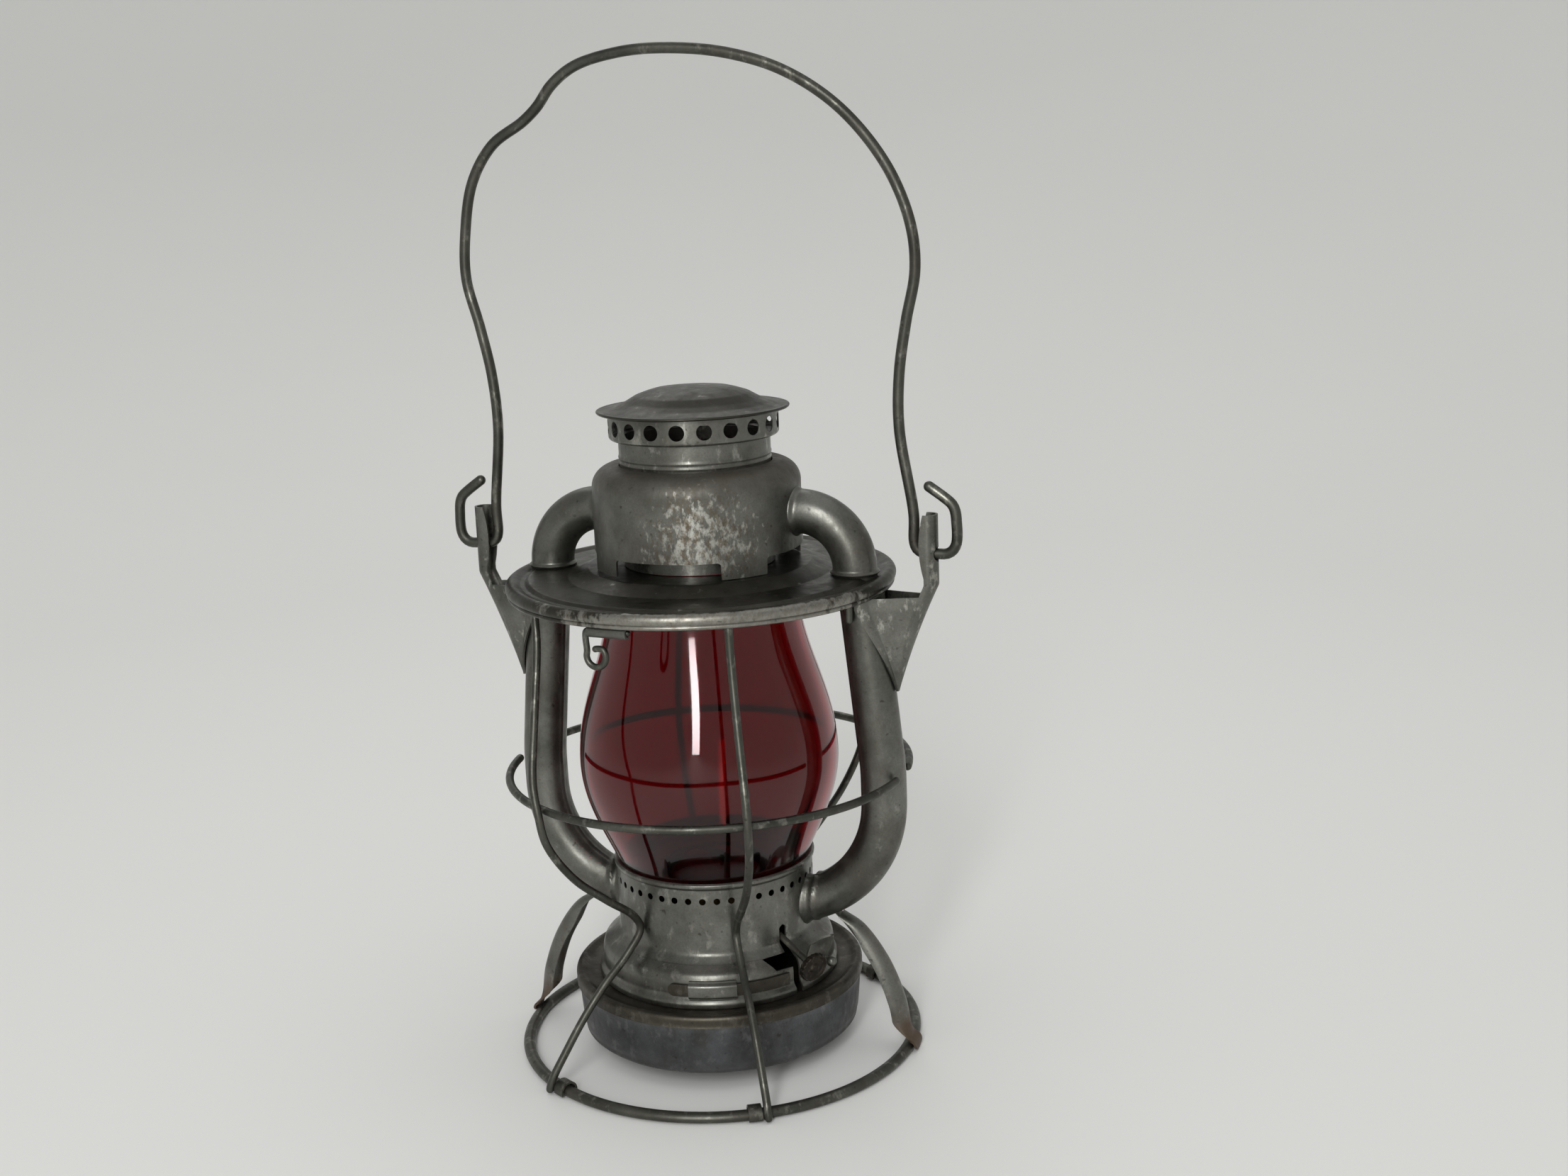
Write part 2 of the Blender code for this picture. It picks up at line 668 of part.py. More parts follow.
# Guard wires: hooked over the top hoop, outside the guard hoop, in to the collar and out to the base ring
def build_guard_wire(name, top_angle, hoop_angle, collar_angle, foot_angle):
    half = GUARD_WIRE / 2
    over = HOOP_WIRE / 2 + half + 2 * FIT
    hook = arc((top_hoop_radius, top_hoop_height), over, 205.0, 0.0, 6)
    bulge = guard_hoop_radius + HOOP_WIRE / 2 + half + FIT
    touch = (COLLAR_RADIUS + FIT + half, collar_foot + COLLAR_TOUCH)
    foot = BASE_RING_RADIUS + BASE_WIRE / 2 + half + FIT
    upper = top_hoop_height - guard_hoop_height
    lower = guard_hoop_height - touch[1]
    leg = touch[1] - base_height
    reach = foot - touch[0]
    knots = [(r, z, top_angle) for r, z in hook]
    mix = np.interp
    for share, swell in ((0.2, 0.10), (0.55, 0.50), (0.85, 0.92)):
        angle = mix(share, (0, 1), (top_angle, hoop_angle))
        knots.append((hook[-1][0] + swell * (bulge - hook[-1][0]), top_hoop_height - share * upper, angle))
    knots.append((bulge, guard_hoop_height, hoop_angle))
    for share, swell in ((0.22, 0.95), (0.50, 0.70), (0.72, 0.36), (0.90, 0.06)):
        angle = mix(share, (0, 1), (hoop_angle, collar_angle))
        knots.append((touch[0] + swell * (bulge - touch[0]), guard_hoop_height - share * lower, angle))
    knots.append((*touch, collar_angle))
    for share, out in ((0.16, 0.16), (0.33, 0.42), (0.54, 0.66), (0.76, 0.85), (0.92, 0.97)):
        angle = mix(share, (0, 1), (collar_angle, foot_angle))
        knots.append((touch[0] + out * reach, touch[1] - share * leg, angle))
    knots.append((foot, base_height, foot_angle))
    knots.append((foot, RUN, foot_angle))
    route = smooth([polar(a, r, z) for r, z, a in knots], 24)
    wire(name, route, GUARD_WIRE, WORN_WIRE)


# Bail ears: one sheet, a saddle on the tube below and a gutter above that opens towards the bail's leg
def build_bail_ear(name, side):
    shoulder = tube_top - 0.0015
    tip = shoulder - EAR_SADDLE
    knee = plate_top - 0.0030
    top = pivot_height + EAR_TOP
    web = ear_edge + EAR_DEPTH
    half = GUTTER_HALF
    hug = tube_radius + RUN + SHEET / 2 + 0.0002
    steps = np.linspace(0.0, 1.0, 7)
    gutter_steps = 4
    rows = []
    for height in list(np.linspace(tip, shoulder, 5)) + list(np.linspace(knee, top, 4)):
        wrap = math.radians(EAR_SPAN) * min(0.08 + 1.05 * (height - tip) / EAR_SADDLE, 1.0)
        lean = min((height - tip) / (knee - tip), 1.0)
        swell = EAR_BULGE * ((height - pivot_height - 0.003) / (top - pivot_height - 0.003)) ** 2
        gutter = [
            (web, 0.0),
            (web - half * (1 - math.sqrt(0.5)), half * math.sqrt(0.5)),
            (web - half, half),
            (ear_edge + min(swell, EAR_BULGE), half),
        ]
        arm = []
        for k, share in enumerate(steps):
            x = tube_axis(height) + hug * math.cos(share * wrap)
            y = hug * math.sin(share * wrap)
            if k < gutter_steps:
                x += lean * (gutter[k][0] - x)
                y += lean * (gutter[k][1] - y)
            arm.append((side * x, y, height) if k < gutter_steps or height < knee - FIT else None)
        mirrored = [p and (p[0], -p[1], p[2]) for p in arm[:0:-1]]
        rows.append(mirrored + arm)
    ear = sheet(name, rows, SHEET, OLD_TIN)
    ends = [((side * (web - 0.004), 0, pivot_height), (side * (web + 0.004), 0, pivot_height))]
    cut(ear, "pivot_hole", rods("pivot_hole", ends, BAIL_WIRE / 2 + 2 * RUN, 12))


# Bail: one bent wire with a resting kink on its left and a hook through each ear
def build_bail():
    bend = BAIL_WIRE
    reach = BAIL_HOOK - BAIL_LEG
    crook = [(0.30, 1.0), (0.64, 0.85), (0.95, 0.60), (1.0, 0.30), (0.83, 0.06), (0.55, 0.0), (0.43, 0.0)]
    right = [(BAIL_LEG + out * reach, pivot_height + rise * BAIL_CROOK) for out, rise in crook]
    right += [
        (BAIL_LEG + bend, pivot_height),
        (BAIL_LEG + 0.3 * bend, pivot_height + 0.3 * bend),
        (BAIL_LEG, pivot_height + bend),
        (BAIL_LEG, pivot_height + 0.08 * BAIL_HEIGHT),
    ]
    flare = [
        (BAIL_WAIST, 0.25),
        (1.01 * BAIL_WAIST, 0.36),
        (0.5 * (BAIL_WAIST + BAIL_BELLY), 0.46),
        (BAIL_BELLY, 0.56),
        (0.987 * BAIL_BELLY, 0.65),
    ]
    lean = -BAIL_LEAN
    arch = [(0.905, 0.76), (0.72, 0.87), (0.49, 0.945), (0.24, 0.985), (-0.02, 1.0), (-0.22, 0.997)]
    kink = [(-0.42, 0.975), (-0.53, 0.940), (-0.60, 0.900), (-0.67, 0.872), (-0.82, 0.828), (-0.925, 0.755)]
    path = list(right)
    path += [(x + lean * share, pivot_height + share * BAIL_HEIGHT) for x, share in flare]
    crest = [(x * BAIL_BELLY + lean, pivot_height + share * BAIL_HEIGHT) for x, share in arch + kink]
    path += crest
    path += [(-x + lean * share, pivot_height + share * BAIL_HEIGHT) for x, share in reversed(flare)]
    path += [(-x, z) for x, z in reversed(right)]
    route = smooth([(x, 0.0, z) for x, z in path], 52)
    wire("bail", route, BAIL_WIRE, WORN_WIRE, 8)


# Crown: plate, hood, chimney, vent ring and cap
def build_crown_plate():
    bead = RIM_BEAD / 2
    centre = (plate_radius - bead, plate_top - bead)
    outline = [
        (PLATE_HOLE, plate_top + PLATE_RISE),
        (HOOD_RADIUS + 0.0035, plate_top + PLATE_RISE),
        (HOOD_RADIUS + 0.0115, plate_top),
    ]
    outline += arc(centre, bead, 90.0, -120.0, 5)
    plate = turned("crown_plate", wall(outline, SHEET), SOOTY_TIN)
    reach = 0.01
    span = (plate_top - reach, plate_top + reach)
    ends = [[(s * elbow_foot, 0, z) for z in span] for s in (-1, 1)]
    cut(plate, "elbow_holes", rods("elbow_holes", ends, (elbow_radius + FIT) / math.cos(math.pi / 12), 12))


def build_hood():
    shoulder = hood_top - HOOD_SHOULDER
    outline = [(CHIMNEY_RADIUS + FIT, hood_top), (HOOD_RADIUS - HOOD_SHOULDER, hood_top)]
    outline += arc((HOOD_RADIUS - HOOD_SHOULDER, shoulder), HOOD_SHOULDER, 60.0, 0.0, 3)
    outline += [(HOOD_RADIUS, hood_bottom)]
    hood = turned("hood", wall(outline, SHEET), OLD_TIN)
    bm = bmesh.new()
    inner = HOOD_RADIUS - 0.006
    outer = HOOD_RADIUS + 0.004
    low = hood_bottom - 0.002
    for facing in (0.0, 90.0, 180.0, 270.0):
        rows = []
        for share in (-0.5, -0.42, -0.25, -0.08, 0.08, 0.25, 0.42, 0.5):
            high = hood_bottom + SLOT_HEIGHT * (0.6 if abs(share) == 0.5 else 1.0)
            ring = ((inner, high), (outer, high), (outer, low), (inner, low))
            rows.append([bm.verts.new(polar(facing + share * SLOT_SPAN, r, z)) for r, z in ring])
        for near, far in zip(rows, rows[1:]):
            for k in range(4):
                bm.faces.new((near[k], near[k - 1], far[k - 1], far[k]))
        bm.faces.new(rows[0])
        bm.faces.new(rows[-1])
    bmesh.ops.recalc_face_normals(bm, faces=bm.faces)
    cut(hood, "slots", to_mesh(bm, "slots"))
    level = hood_bottom + ELBOW_RISE
    ends = [((s * (HOOD_RADIUS - 0.008), 0, level), (s * (HOOD_RADIUS + 0.004), 0, level)) for s in (-1, 1)]
    cut(hood, "elbow_openings", rods("elbow_openings", ends, elbow_radius - 2 * SHEET, 12))


def build_chimney():
    outline = [(CHIMNEY_RADIUS, chimney_top), (CHIMNEY_RADIUS, hood_bottom)]
    turned("chimney", wall(outline, SHEET), OLD_TIN)


def build_vent_ring():
    outline = [
        (VENT_RADIUS, vent_top),
        (VENT_RADIUS, vent_bottom),
        (CHIMNEY_RADIUS - 0.0020, vent_bottom),
    ]
    ring = turned("vent_ring", wall(outline, SHEET), OLD_TIN, 2 * VENT_HOLE_COUNT)
    middle = (vent_bottom + vent_top) / 2 + 0.0004
    reach = (VENT_RADIUS - 3 * SHEET, VENT_RADIUS + 2 * SHEET)
    turns = [90.0 + 360.0 / VENT_HOLE_COUNT * (i + 0.5) for i in range(VENT_HOLE_COUNT)]
    ends = [(polar(a, reach[0], middle), polar(a, reach[1], middle)) for a in turns]
    cut(ring, "vent_holes", rods("vent_holes", ends, VENT_HOLE / 2, 6))


def build_dome_cap():
    top = cap_bottom + CAP_HEIGHT
    outline = [
        (0.0, top),
        (0.44 * CAP_RADIUS, top - 0.08 * CAP_HEIGHT),
        (0.68 * CAP_RADIUS, top - 0.32 * CAP_HEIGHT),
        (VENT_RADIUS - 0.0030, cap_bottom + SHEET + 0.0018),
        (VENT_RADIUS - SHEET, cap_bottom + SHEET),
        (CAP_RADIUS, cap_bottom + SHEET),
    ]
    turned("dome_cap", wall(outline, SHEET), SOOTY_TIN)


# Elbows: from the hood's side, through the plate and as a neck into the side tube
def build_elbow(name, side):
    level = hood_bottom + ELBOW_RISE
    bend = (elbow_foot - ELBOW_BEND, level - ELBOW_BEND)
    seat = plate_top + FIT
    path = [(HOOD_RADIUS - 0.006, level, elbow_radius)]
    path += [(r, z, elbow_radius) for r, z in arc(bend, ELBOW_BEND, 90.0, 10.0, 5)]
    low = tube_top - NECK_DEPTH
    path += [
        (elbow_foot, seat + 0.0016, elbow_radius),
        (elbow_foot, seat + 0.0006, elbow_radius + 0.0009),
        (elbow_foot, seat, elbow_radius),
        (elbow_foot, plate_under - 0.0008, elbow_radius),
        (elbow_foot + 0.0003, plate_under - 0.0022, NECK_RADIUS),
        (tube_axis(tube_top), tube_top, NECK_RADIUS),
        (tube_axis(low), low + 0.0010, NECK_RADIUS),
        (tube_axis(low), low, NECK_RADIUS - 0.0005),
    ]
    route = [Vector((side * r, 0.0, z)) for r, z, _ in path]
    elbow = tube(name, route, [radius for _, _, radius in path], OLD_TIN)
    trim = [((0, 0, hood_bottom - 0.001), (0, 0, hood_top + 0.02))]
    cut(elbow, "hood_trim", turned_cutter("hood_trim", trim, HOOD_RADIUS + FIT, TURN_STEPS))


def build_globe_ring():
    inner = GLOBE_MOUTH + GLOBE_RING_PLAY
    top = plate_top + PLATE_RISE - SHEET - FIT
    outline = [
        (PLATE_HOLE + 0.004, top),
        (inner + SHEET, top),
        (inner + SHEET, top - GLOBE_RING_DEPTH),
    ]
    turned("globe_ring", wall(outline, SHEET), OLD_TIN)


# Crown hinge and the finger hook's bracket: strips under the plate
def strip_along(name, angle, width, path, finish):
    """A flat strip of a width whose middle follows (radius, height) points at a lantern angle."""
    out = polar(angle, 1.0, 0.0)
    across = polar(angle + 90.0, 1.0, 0.0)
    rows = [[out * r + across * (s * width / 2) + Vector((0, 0, z)) for s in (-1, 1)] for r, z in path]
    sheet(name, rows, SHEET, finish)


def build_crown_hinge():
    under = plate_under - FIT - SHEET / 2
    curl = HOOP_WIRE / 2 + HINGE_PLAY + SHEET / 2
    path = [(HOOD_RADIUS + 0.0125, under), (top_hoop_radius - 0.0050, under)]
    path += arc((top_hoop_radius, top_hoop_height), curl, 118.0, -130.0, 10)
    strip_along("crown_hinge", 180.0, HINGE_WIDTH, path, OLD_TIN)


hook_axis_drop = RIM_BEAD + HOOK_WIRE / 2 + RUN + SHEET + FIT
hook_axis = (top_hoop_radius + HOOK_OUT, plate_top - hook_axis_drop)


def build_hook_bracket():
    under = plate_under - FIT - SHEET / 2
    over = top_hoop_height + HOOP_WIRE / 2 + FIT + SHEET / 2
    curl = HOOK_WIRE / 2 + RUN + SHEET / 2
    path = [(HOOD_RADIUS + 0.0125, under), (top_hoop_radius - 0.0060, under)]
    path += [(top_hoop_radius - 0.0022, over), (top_hoop_radius + 0.0026, over)]
    path += arc(hook_axis, curl, 150.0, -110.0, 10)
    strip_along("hook_bracket", HOOK_ANGLE, BRACKET_WIDTH, path, OLD_TIN)


def build_finger_hook():
    """A wire that turns in the bracket's curl and hangs down to a spiral for the finger."""
    axis_radius, axis_height = hook_axis
    left = -BRACKET_WIDTH / 2 - HOOK_WIRE / 2 - RUN
    low = -HOOK_DROP + HOOK_CURL
    flat = [
        (BRACKET_WIDTH / 2 + 0.0010, 0.0),
        (left + 0.0020, 0.0),
        (left + 0.0004, -0.0004),
        (left, -0.0022),
        (left + 0.0003, low + 0.0020),
    ]
    flat += arc((left + HOOK_CURL, low), HOOK_CURL, 185.0, 400.0, 7)
    flat += arc((left + HOOK_CURL + 0.0003, low + 0.0004), 0.62 * HOOK_CURL, 85.0, 130.0, 2)
    out = polar(HOOK_ANGLE, axis_radius, axis_height)
    across = polar(HOOK_ANGLE + 90.0, 1.0, 0.0)
    route = smooth([out + across * x + Vector((0, 0, z)) for x, z in flat], 20)
    wire("finger_hook", route, HOOK_WIRE, WORN_WIRE)


# Fount: tank, deck and the brass ring that takes the burner
def build_fount():
    low = FOUNT_RADIUS - FOUNT_TAPER
    corner = (low - FOUNT_CORNER, FOUNT_LIFT + FOUNT_CORNER)
    outline = [(FOUNT_RADIUS, deck_top - SHEET - FIT), (FOUNT_RADIUS, deck_top - 2 * DECK_LIP)]
    outline += arc(corner, FOUNT_CORNER, 0.0, -90.0, 3)
    outline += [(0.75 * low, FOUNT_LIFT + SHEET), (0.0, FOUNT_LIFT + 2 * SHEET)]
    turned("fount_tank", wall(outline, SHEET), OLD_TIN)
    rim = FOUNT_RADIUS + FIT + SHEET
    outline = [
        (FILLER_RADIUS, deck_top),
        (rim - 0.0042, deck_top),
        (rim - 0.0020, deck_top + DECK_BEAD),
        (rim, deck_top + 0.4 * DECK_BEAD),
        (rim, deck_top - DECK_LIP),
    ]
    turned("fount_deck", wall(outline, SHEET), OLD_TIN)
    low = deck_top + FIT
    outer = FILLER_RADIUS + FILLER_WALL
    section = [(outer - 0.0005, filler_top), (outer, filler_top - 0.0006), (outer, low), (FILLER_RADIUS, low)]
    section += [(FILLER_RADIUS, filler_top)]
    turned("fount_collar", section, OLD_BRASS, SMALL_STEPS)


# Burner: body, cone, wick tube and wick. The shaft slopes out through the collar's keyhole
shaft_out = polar(WICK_ANGLE, 1.0, 0.0)
shaft_across = polar(WICK_ANGLE + 90.0, 1.0, 0.0)
shaft_plan = Matrix.Rotation(math.radians(WICK_ANGLE - 90.0), 4, 'Z')
shaft_slope = math.radians(SHAFT_SLOPE)
shaft_axis = shaft_out * math.cos(shaft_slope) - Vector((0, 0, math.sin(shaft_slope)))


def shaft_point(reach):
    """The point of the wick shaft's axis whose distance along the shaft's plan is reach."""
    level = KNOB_HEIGHT + (KNOB_REACH - reach) * math.tan(shaft_slope)
    return shaft_across * shaft_offset + shaft_out * reach + Vector((0, 0, level))


tube_inner = (WICK_WIDTH + 2 * FIT, WICK_THICKNESS + 2 * FIT)
tube_outer = (tube_inner[0] + 2 * WICK_TUBE_WALL, tube_inner[1] + 2 * WICK_TUBE_WALL)


def build_burner():
    low = filler_top + FIT
    thimble = FILLER_RADIUS - RUN
    passage = math.hypot(*tube_outer) / 2 + 2 * FIT
    outline = [
        (BURNER_RADIUS + 0.0025, burner_top),
        (BURNER_RADIUS, burner_top - 0.0012),
        (BURNER_RADIUS, low + 0.0042),
        (FILLER_RADIUS + FILLER_WALL + 0.0015, low + 0.0028),
        (FILLER_RADIUS + FILLER_WALL + 0.0015, low),
        (thimble, low),
        (thimble, deck_top - THIMBLE_DEPTH),
        (passage, deck_top - THIMBLE_DEPTH),
    ]
    body = turned("burner_body", wall(outline, SHEET), OLD_BRASS, SMALL_STEPS)
    ends = [(shaft_point(BURNER_RADIUS - 0.006), shaft_point(BURNER_RADIUS + 0.005))]
    cut(body, "shaft_hole", rods("shaft_hole", ends, SHAFT_RADIUS + FIT, 12))
    base = burner_top + SHEET + FIT
    wide = BURNER_RADIUS + 0.0025
    outline = [
        (0.0, base + CONE_HEIGHT),
        (0.32 * wide, base + 0.96 * CONE_HEIGHT),
        (0.66 * wide, base + 0.77 * CONE_HEIGHT),
        (0.92 * wide, base + 0.35 * CONE_HEIGHT),
        (wide, base),
    ]
    cone = turned("burner_cone", wall(outline, SHEET), OLD_BRASS, SMALL_STEPS)
    size = (WICK_WIDTH + 0.0036, WICK_THICKNESS + 0.0030, CONE_HEIGHT)
    cut(cone, "flame_slot", block("flame_slot", (0, 0, base + CONE_HEIGHT), size, shaft_plan))


def build_wick():
    low = deck_top - THIMBLE_DEPTH - 0.004
    middle = (0, 0, (low + WICK_TUBE_TOP) / 2)
    height = WICK_TUBE_TOP - low
    case = add_part("wick_tube", block("wick_tube", middle, (*tube_outer, height), shaft_plan), OLD_BRASS)
    cut(case, "bore", block("bore", middle, (*tube_inner, height + 0.01), shaft_plan))
    for i, spread in enumerate((-SPUR_SPREAD, SPUR_SPREAD)):
        level = Vector((0, 0, shaft_point(spread)[2]))
        place = shaft_out * spread + shaft_across * (tube_outer[1] / 2) + level
        size = (SPUR_THICKNESS + 0.0022, tube_outer[1], 2 * SPUR_RADIUS + 0.0014)
        cut(case, f"spur_window_{i}", block("spur_window", place, size, shaft_plan))
    foot = FOUNT_LIFT + 2 * SHEET + WICK_CLEAR
    tip = WICK_TUBE_TOP + WICK_TIP
    size = (WICK_WIDTH, WICK_THICKNESS, tip - foot)
    add_part("wick", block("wick", (0, 0, (tip + foot) / 2), size, shaft_plan), COTTON)


def ridged_disc(bm, centre, axis, radius, depth, ridges, thickness):
    """A disc across an axis whose edge has ridges, made from a ring of alternating radii."""
    turn = axis.to_track_quat('Z', 'Y').to_matrix().to_4x4()
    place = Matrix.Translation(centre) @ turn
    ring = bmesh.ops.create_circle(bm, cap_ends=True, segments=2 * ridges, radius=radius)["verts"]
    for i, vert in enumerate(ring):
        vert.co *= 1.0 - depth / radius * (i % 2)
        vert.co.z = -thickness / 2
    face = ring[0].link_faces[0]
    raised = bmesh.ops.extrude_face_region(bm, geom=[face])["geom"]
    verts = [v for v in raised if isinstance(v, bmesh.types.BMVert)]
    bmesh.ops.translate(bm, verts=verts, vec=(0, 0, thickness))
    bmesh.ops.transform(bm, matrix=place, verts=bm.verts)
    bmesh.ops.recalc_face_normals(bm, faces=bm.faces)


def build_wick_drive():
    bm = bmesh.new()
    inner = -SPUR_SPREAD - SPUR_THICKNESS - 0.002
    add_rod(bm, shaft_point(inner), shaft_point(KNOB_REACH), SHAFT_RADIUS, 8)
    add_part("wick_shaft", to_mesh(bm, "wick_shaft"), WORN_WIRE)
    for name, spread in (("spur_wheel_inner", -SPUR_SPREAD), ("spur_wheel_outer", SPUR_SPREAD)):
        bm = bmesh.new()
        ridged_disc(bm, shaft_point(spread), shaft_axis, SPUR_RADIUS, 0.0006, 9, SPUR_THICKNESS)
        wheel = add_part(name, to_mesh(bm, name), OLD_BRASS)
        span = shaft_axis * SPUR_THICKNESS
        ends = [(shaft_point(spread) - span, shaft_point(spread) + span)]
        cut(wheel, "bore", rods("bore", ends, SHAFT_RADIUS + FIT, 8))
    bm = bmesh.new()
    middle = shaft_point(KNOB_REACH) + shaft_axis * (FIT + KNOB_THICKNESS / 2)
    ridged_disc(bm, middle, shaft_axis, KNOB_RADIUS, 0.00035, KNOB_RIDGES, KNOB_THICKNESS)
    add_part("wick_knob", to_mesh(bm, "wick_knob"), WORN_WIRE)


def hang_on(name, place, pieces):
    """Parents pieces to an empty on their joint's axis and leaves them where they are."""
    pivot = bpy.data.objects.new(name, None)
    pivot.location = place
    pivot.empty_display_size = 0.01
    lantern.objects.link(pivot)
    for piece in pieces:
        obj = bpy.data.objects[piece]
        obj.parent = pivot
        obj.matrix_parent_inverse = Matrix.Translation(place).inverted()


build_base_ring()
build_collar()
build_globe_plate()
build_fount_latch()
build_globe()
for end_name, end_side in (("left", -1), ("right", 1)):
    build_strap_leg("strap_leg_" + end_name, end_side)
    build_side_tube("side_tube_" + end_name, end_side)
    build_bail_ear("bail_ear_" + end_name, end_side)
    build_elbow("elbow_" + end_name, end_side)
for half_name, half_facing in (("front", 1), ("back", -1)):
    build_guard_hoop("guard_hoop_" + half_name, half_facing)
    build_top_hoop("top_hoop_" + half_name, half_facing)
for corner, turns in GUARD_WIRES.items():
    build_guard_wire("guard_wire_" + corner, *turns)
    build_foot_clip("foot_clip_" + corner, turns[-1], -1 if turns[-1] > 0 else 1)
build_bail()
build_crown_plate()
build_hood()
build_chimney()
build_vent_ring()
build_dome_cap()
build_globe_ring()
build_crown_hinge()
build_hook_bracket()
build_finger_hook()
build_fount()
build_burner()
build_wick()
build_wick_drive()

CROWN = (
    "crown_plate hood chimney vent_ring dome_cap elbow_left elbow_right globe_ring crown_hinge hook_bracket"
).split()
FOUNT = "fount_tank fount_deck fount_collar burner_body burner_cone wick_tube".split()
WICK_DRIVE = "wick_shaft wick_knob spur_wheel_inner spur_wheel_outer".split()
hang_on("crown_pivot", Vector((0, top_hoop_radius, top_hoop_height)), CROWN)
hang_on("finger_hook_pivot", polar(HOOK_ANGLE, *hook_axis), ["finger_hook"])
hang_on("fount_slide", Vector((0, 0, deck_top)), FOUNT)
hang_on("wick_drive_pivot", shaft_point(KNOB_REACH), WICK_DRIVE)
hang_on("wick_slide", Vector((0, 0, WICK_TUBE_TOP)), ["wick"])
hang_on("latch_pivot", Vector((0, 0, strip_low)), ["latch_strip"])
hang_on("bail_pivot", Vector((0, 0, pivot_height)), ["bail"])
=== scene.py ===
# %% [markdown]
# # An old barn lantern
# A tubular lantern is a frame of bent sheet tubes and wires round a glass globe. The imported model
# already holds every solid and every joint. This lesson lays a finer surface over each solid, gives it
# an old finish, and lights the whole plainly. Each surface is a formula on a grid, so that the same few
# helpers make a hood, a wire or an ear.

# %% The frame
import json
import math

import bmesh
import bpy
import numpy as np
from mathutils import Matrix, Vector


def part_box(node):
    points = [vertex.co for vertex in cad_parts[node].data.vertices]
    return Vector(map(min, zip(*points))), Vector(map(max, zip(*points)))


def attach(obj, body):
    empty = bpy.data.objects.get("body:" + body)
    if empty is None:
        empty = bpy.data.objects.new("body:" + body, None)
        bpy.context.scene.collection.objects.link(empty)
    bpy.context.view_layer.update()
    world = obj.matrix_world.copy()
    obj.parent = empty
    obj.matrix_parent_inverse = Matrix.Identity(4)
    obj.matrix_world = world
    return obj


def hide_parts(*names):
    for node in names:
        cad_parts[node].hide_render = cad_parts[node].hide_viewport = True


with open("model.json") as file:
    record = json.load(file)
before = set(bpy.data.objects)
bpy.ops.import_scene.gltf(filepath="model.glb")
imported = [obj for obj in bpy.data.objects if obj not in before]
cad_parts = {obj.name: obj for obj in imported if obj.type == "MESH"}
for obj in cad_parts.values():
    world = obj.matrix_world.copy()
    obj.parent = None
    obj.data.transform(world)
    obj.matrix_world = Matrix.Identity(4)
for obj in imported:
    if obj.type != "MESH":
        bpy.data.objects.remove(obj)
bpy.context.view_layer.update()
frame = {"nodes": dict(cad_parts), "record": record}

record = frame["record"]
body_of = {node: body for body, nodes in record["behaviour"]["bodies"].items() for node in nodes}

# %% [markdown]
# ## Grids, welds and riders
# A surface here is a grid of points, rows by columns. Neighbours make quads, and a side that comes back
# to its start is joined to it. A piece is one or more such patches, welded where they meet. It stands in
# for a CAD node, so it takes that node's body and a finish of its own, and the node is hidden.

# %% Quads and pieces
WELD = 0.000002
CREASE = 38.0


def quads(grid, round_rows=False, round_columns=False):
    """Quads between neighbours of a grid of points; a round side joins its last line to its first."""
    rows, columns = grid.shape[:2]
    number = np.arange(rows * columns).reshape(rows, columns)
    if round_rows:
        number = np.vstack([number, number[:1]])
    if round_columns:
        number = np.hstack([number, number[:, :1]])
    corners = (number[:-1, :-1], number[1:, :-1], number[1:, 1:], number[:-1, 1:])
    return grid.reshape(-1, 3), np.stack(corners, axis=-1).reshape(-1, 4)


def welded(name, patches):
    """One mesh made of patches of quads, welded where they meet, with its faces turned outwards."""
    starts = np.cumsum([0] + [len(points) for points, _ in patches])
    points = np.concatenate([points for points, _ in patches])
    faces = np.concatenate([faces + start for (_, faces), start in zip(patches, starts)])
    mesh = bpy.data.meshes.new(name)
    mesh.from_pydata(points.tolist(), [], faces.tolist())
    bm = bmesh.new()
    bm.from_mesh(mesh)
    bmesh.ops.remove_doubles(bm, verts=bm.verts, dist=WELD)
    bmesh.ops.recalc_face_normals(bm, faces=bm.faces)
    bm.to_mesh(mesh)
    bm.free()
    return mesh


def placed(name, mesh):
    """An object at the origin that shows a mesh."""
    piece = bpy.data.objects.new(name, mesh)
    bpy.context.scene.collection.objects.link(piece)
    return piece


def dress(node, patches, material):
    """A piece made of patches, in place of a CAD node and on that node's body."""
    mesh = welded(node + "_fine", patches)
    mesh.shade_smooth()
    mesh.set_sharp_from_angle(angle=math.radians(CREASE))
    mesh.materials.append(material)
    piece = placed(node + "_fine", mesh)
    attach(piece, body_of[node])
    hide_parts(node)
    print(piece.name, len(mesh.polygons), "faces")
    return piece


# %% [markdown]
# ## Lines and sections
# Sheet metal has no sharp corners: a spinner's tool leaves a radius at each one. So a section is given by
# its few corners, walked along in even steps, and averaged over a short length, which turns each corner
# into a curve. A closed section of real thickness then goes round the lantern's axis. Old sheet is never
# quite round, and a slow wave over angle and height stands for years of knocks.

# %% Sections turned round the axis
SHEET = 0.0008


def unit(vectors):
    """Vectors divided by their lengths."""
    return vectors / np.linalg.norm(vectors, axis=-1, keepdims=True)


def polar(angle, radius, height):
    """(radius sin angle, -radius cos angle, height): degrees count from the front towards +X."""
    turn = np.radians(angle)
    return np.stack(np.broadcast_arrays(radius * np.sin(turn), -radius * np.cos(turn), height), axis=-1)


def full_turn(count, whole=360.0):
    """Even steps round a full turn, in degrees unless whole says otherwise; its end is its start."""
    return np.linspace(0.0, whole, count, endpoint=False)


def eased_step(value, low, high):
    """0 below low, 1 above high, and 3 t squared - 2 t cubed between."""
    share = np.clip((value - low) / (high - low), 0.0, 1.0)
    return share * share * (3.0 - 2.0 * share)


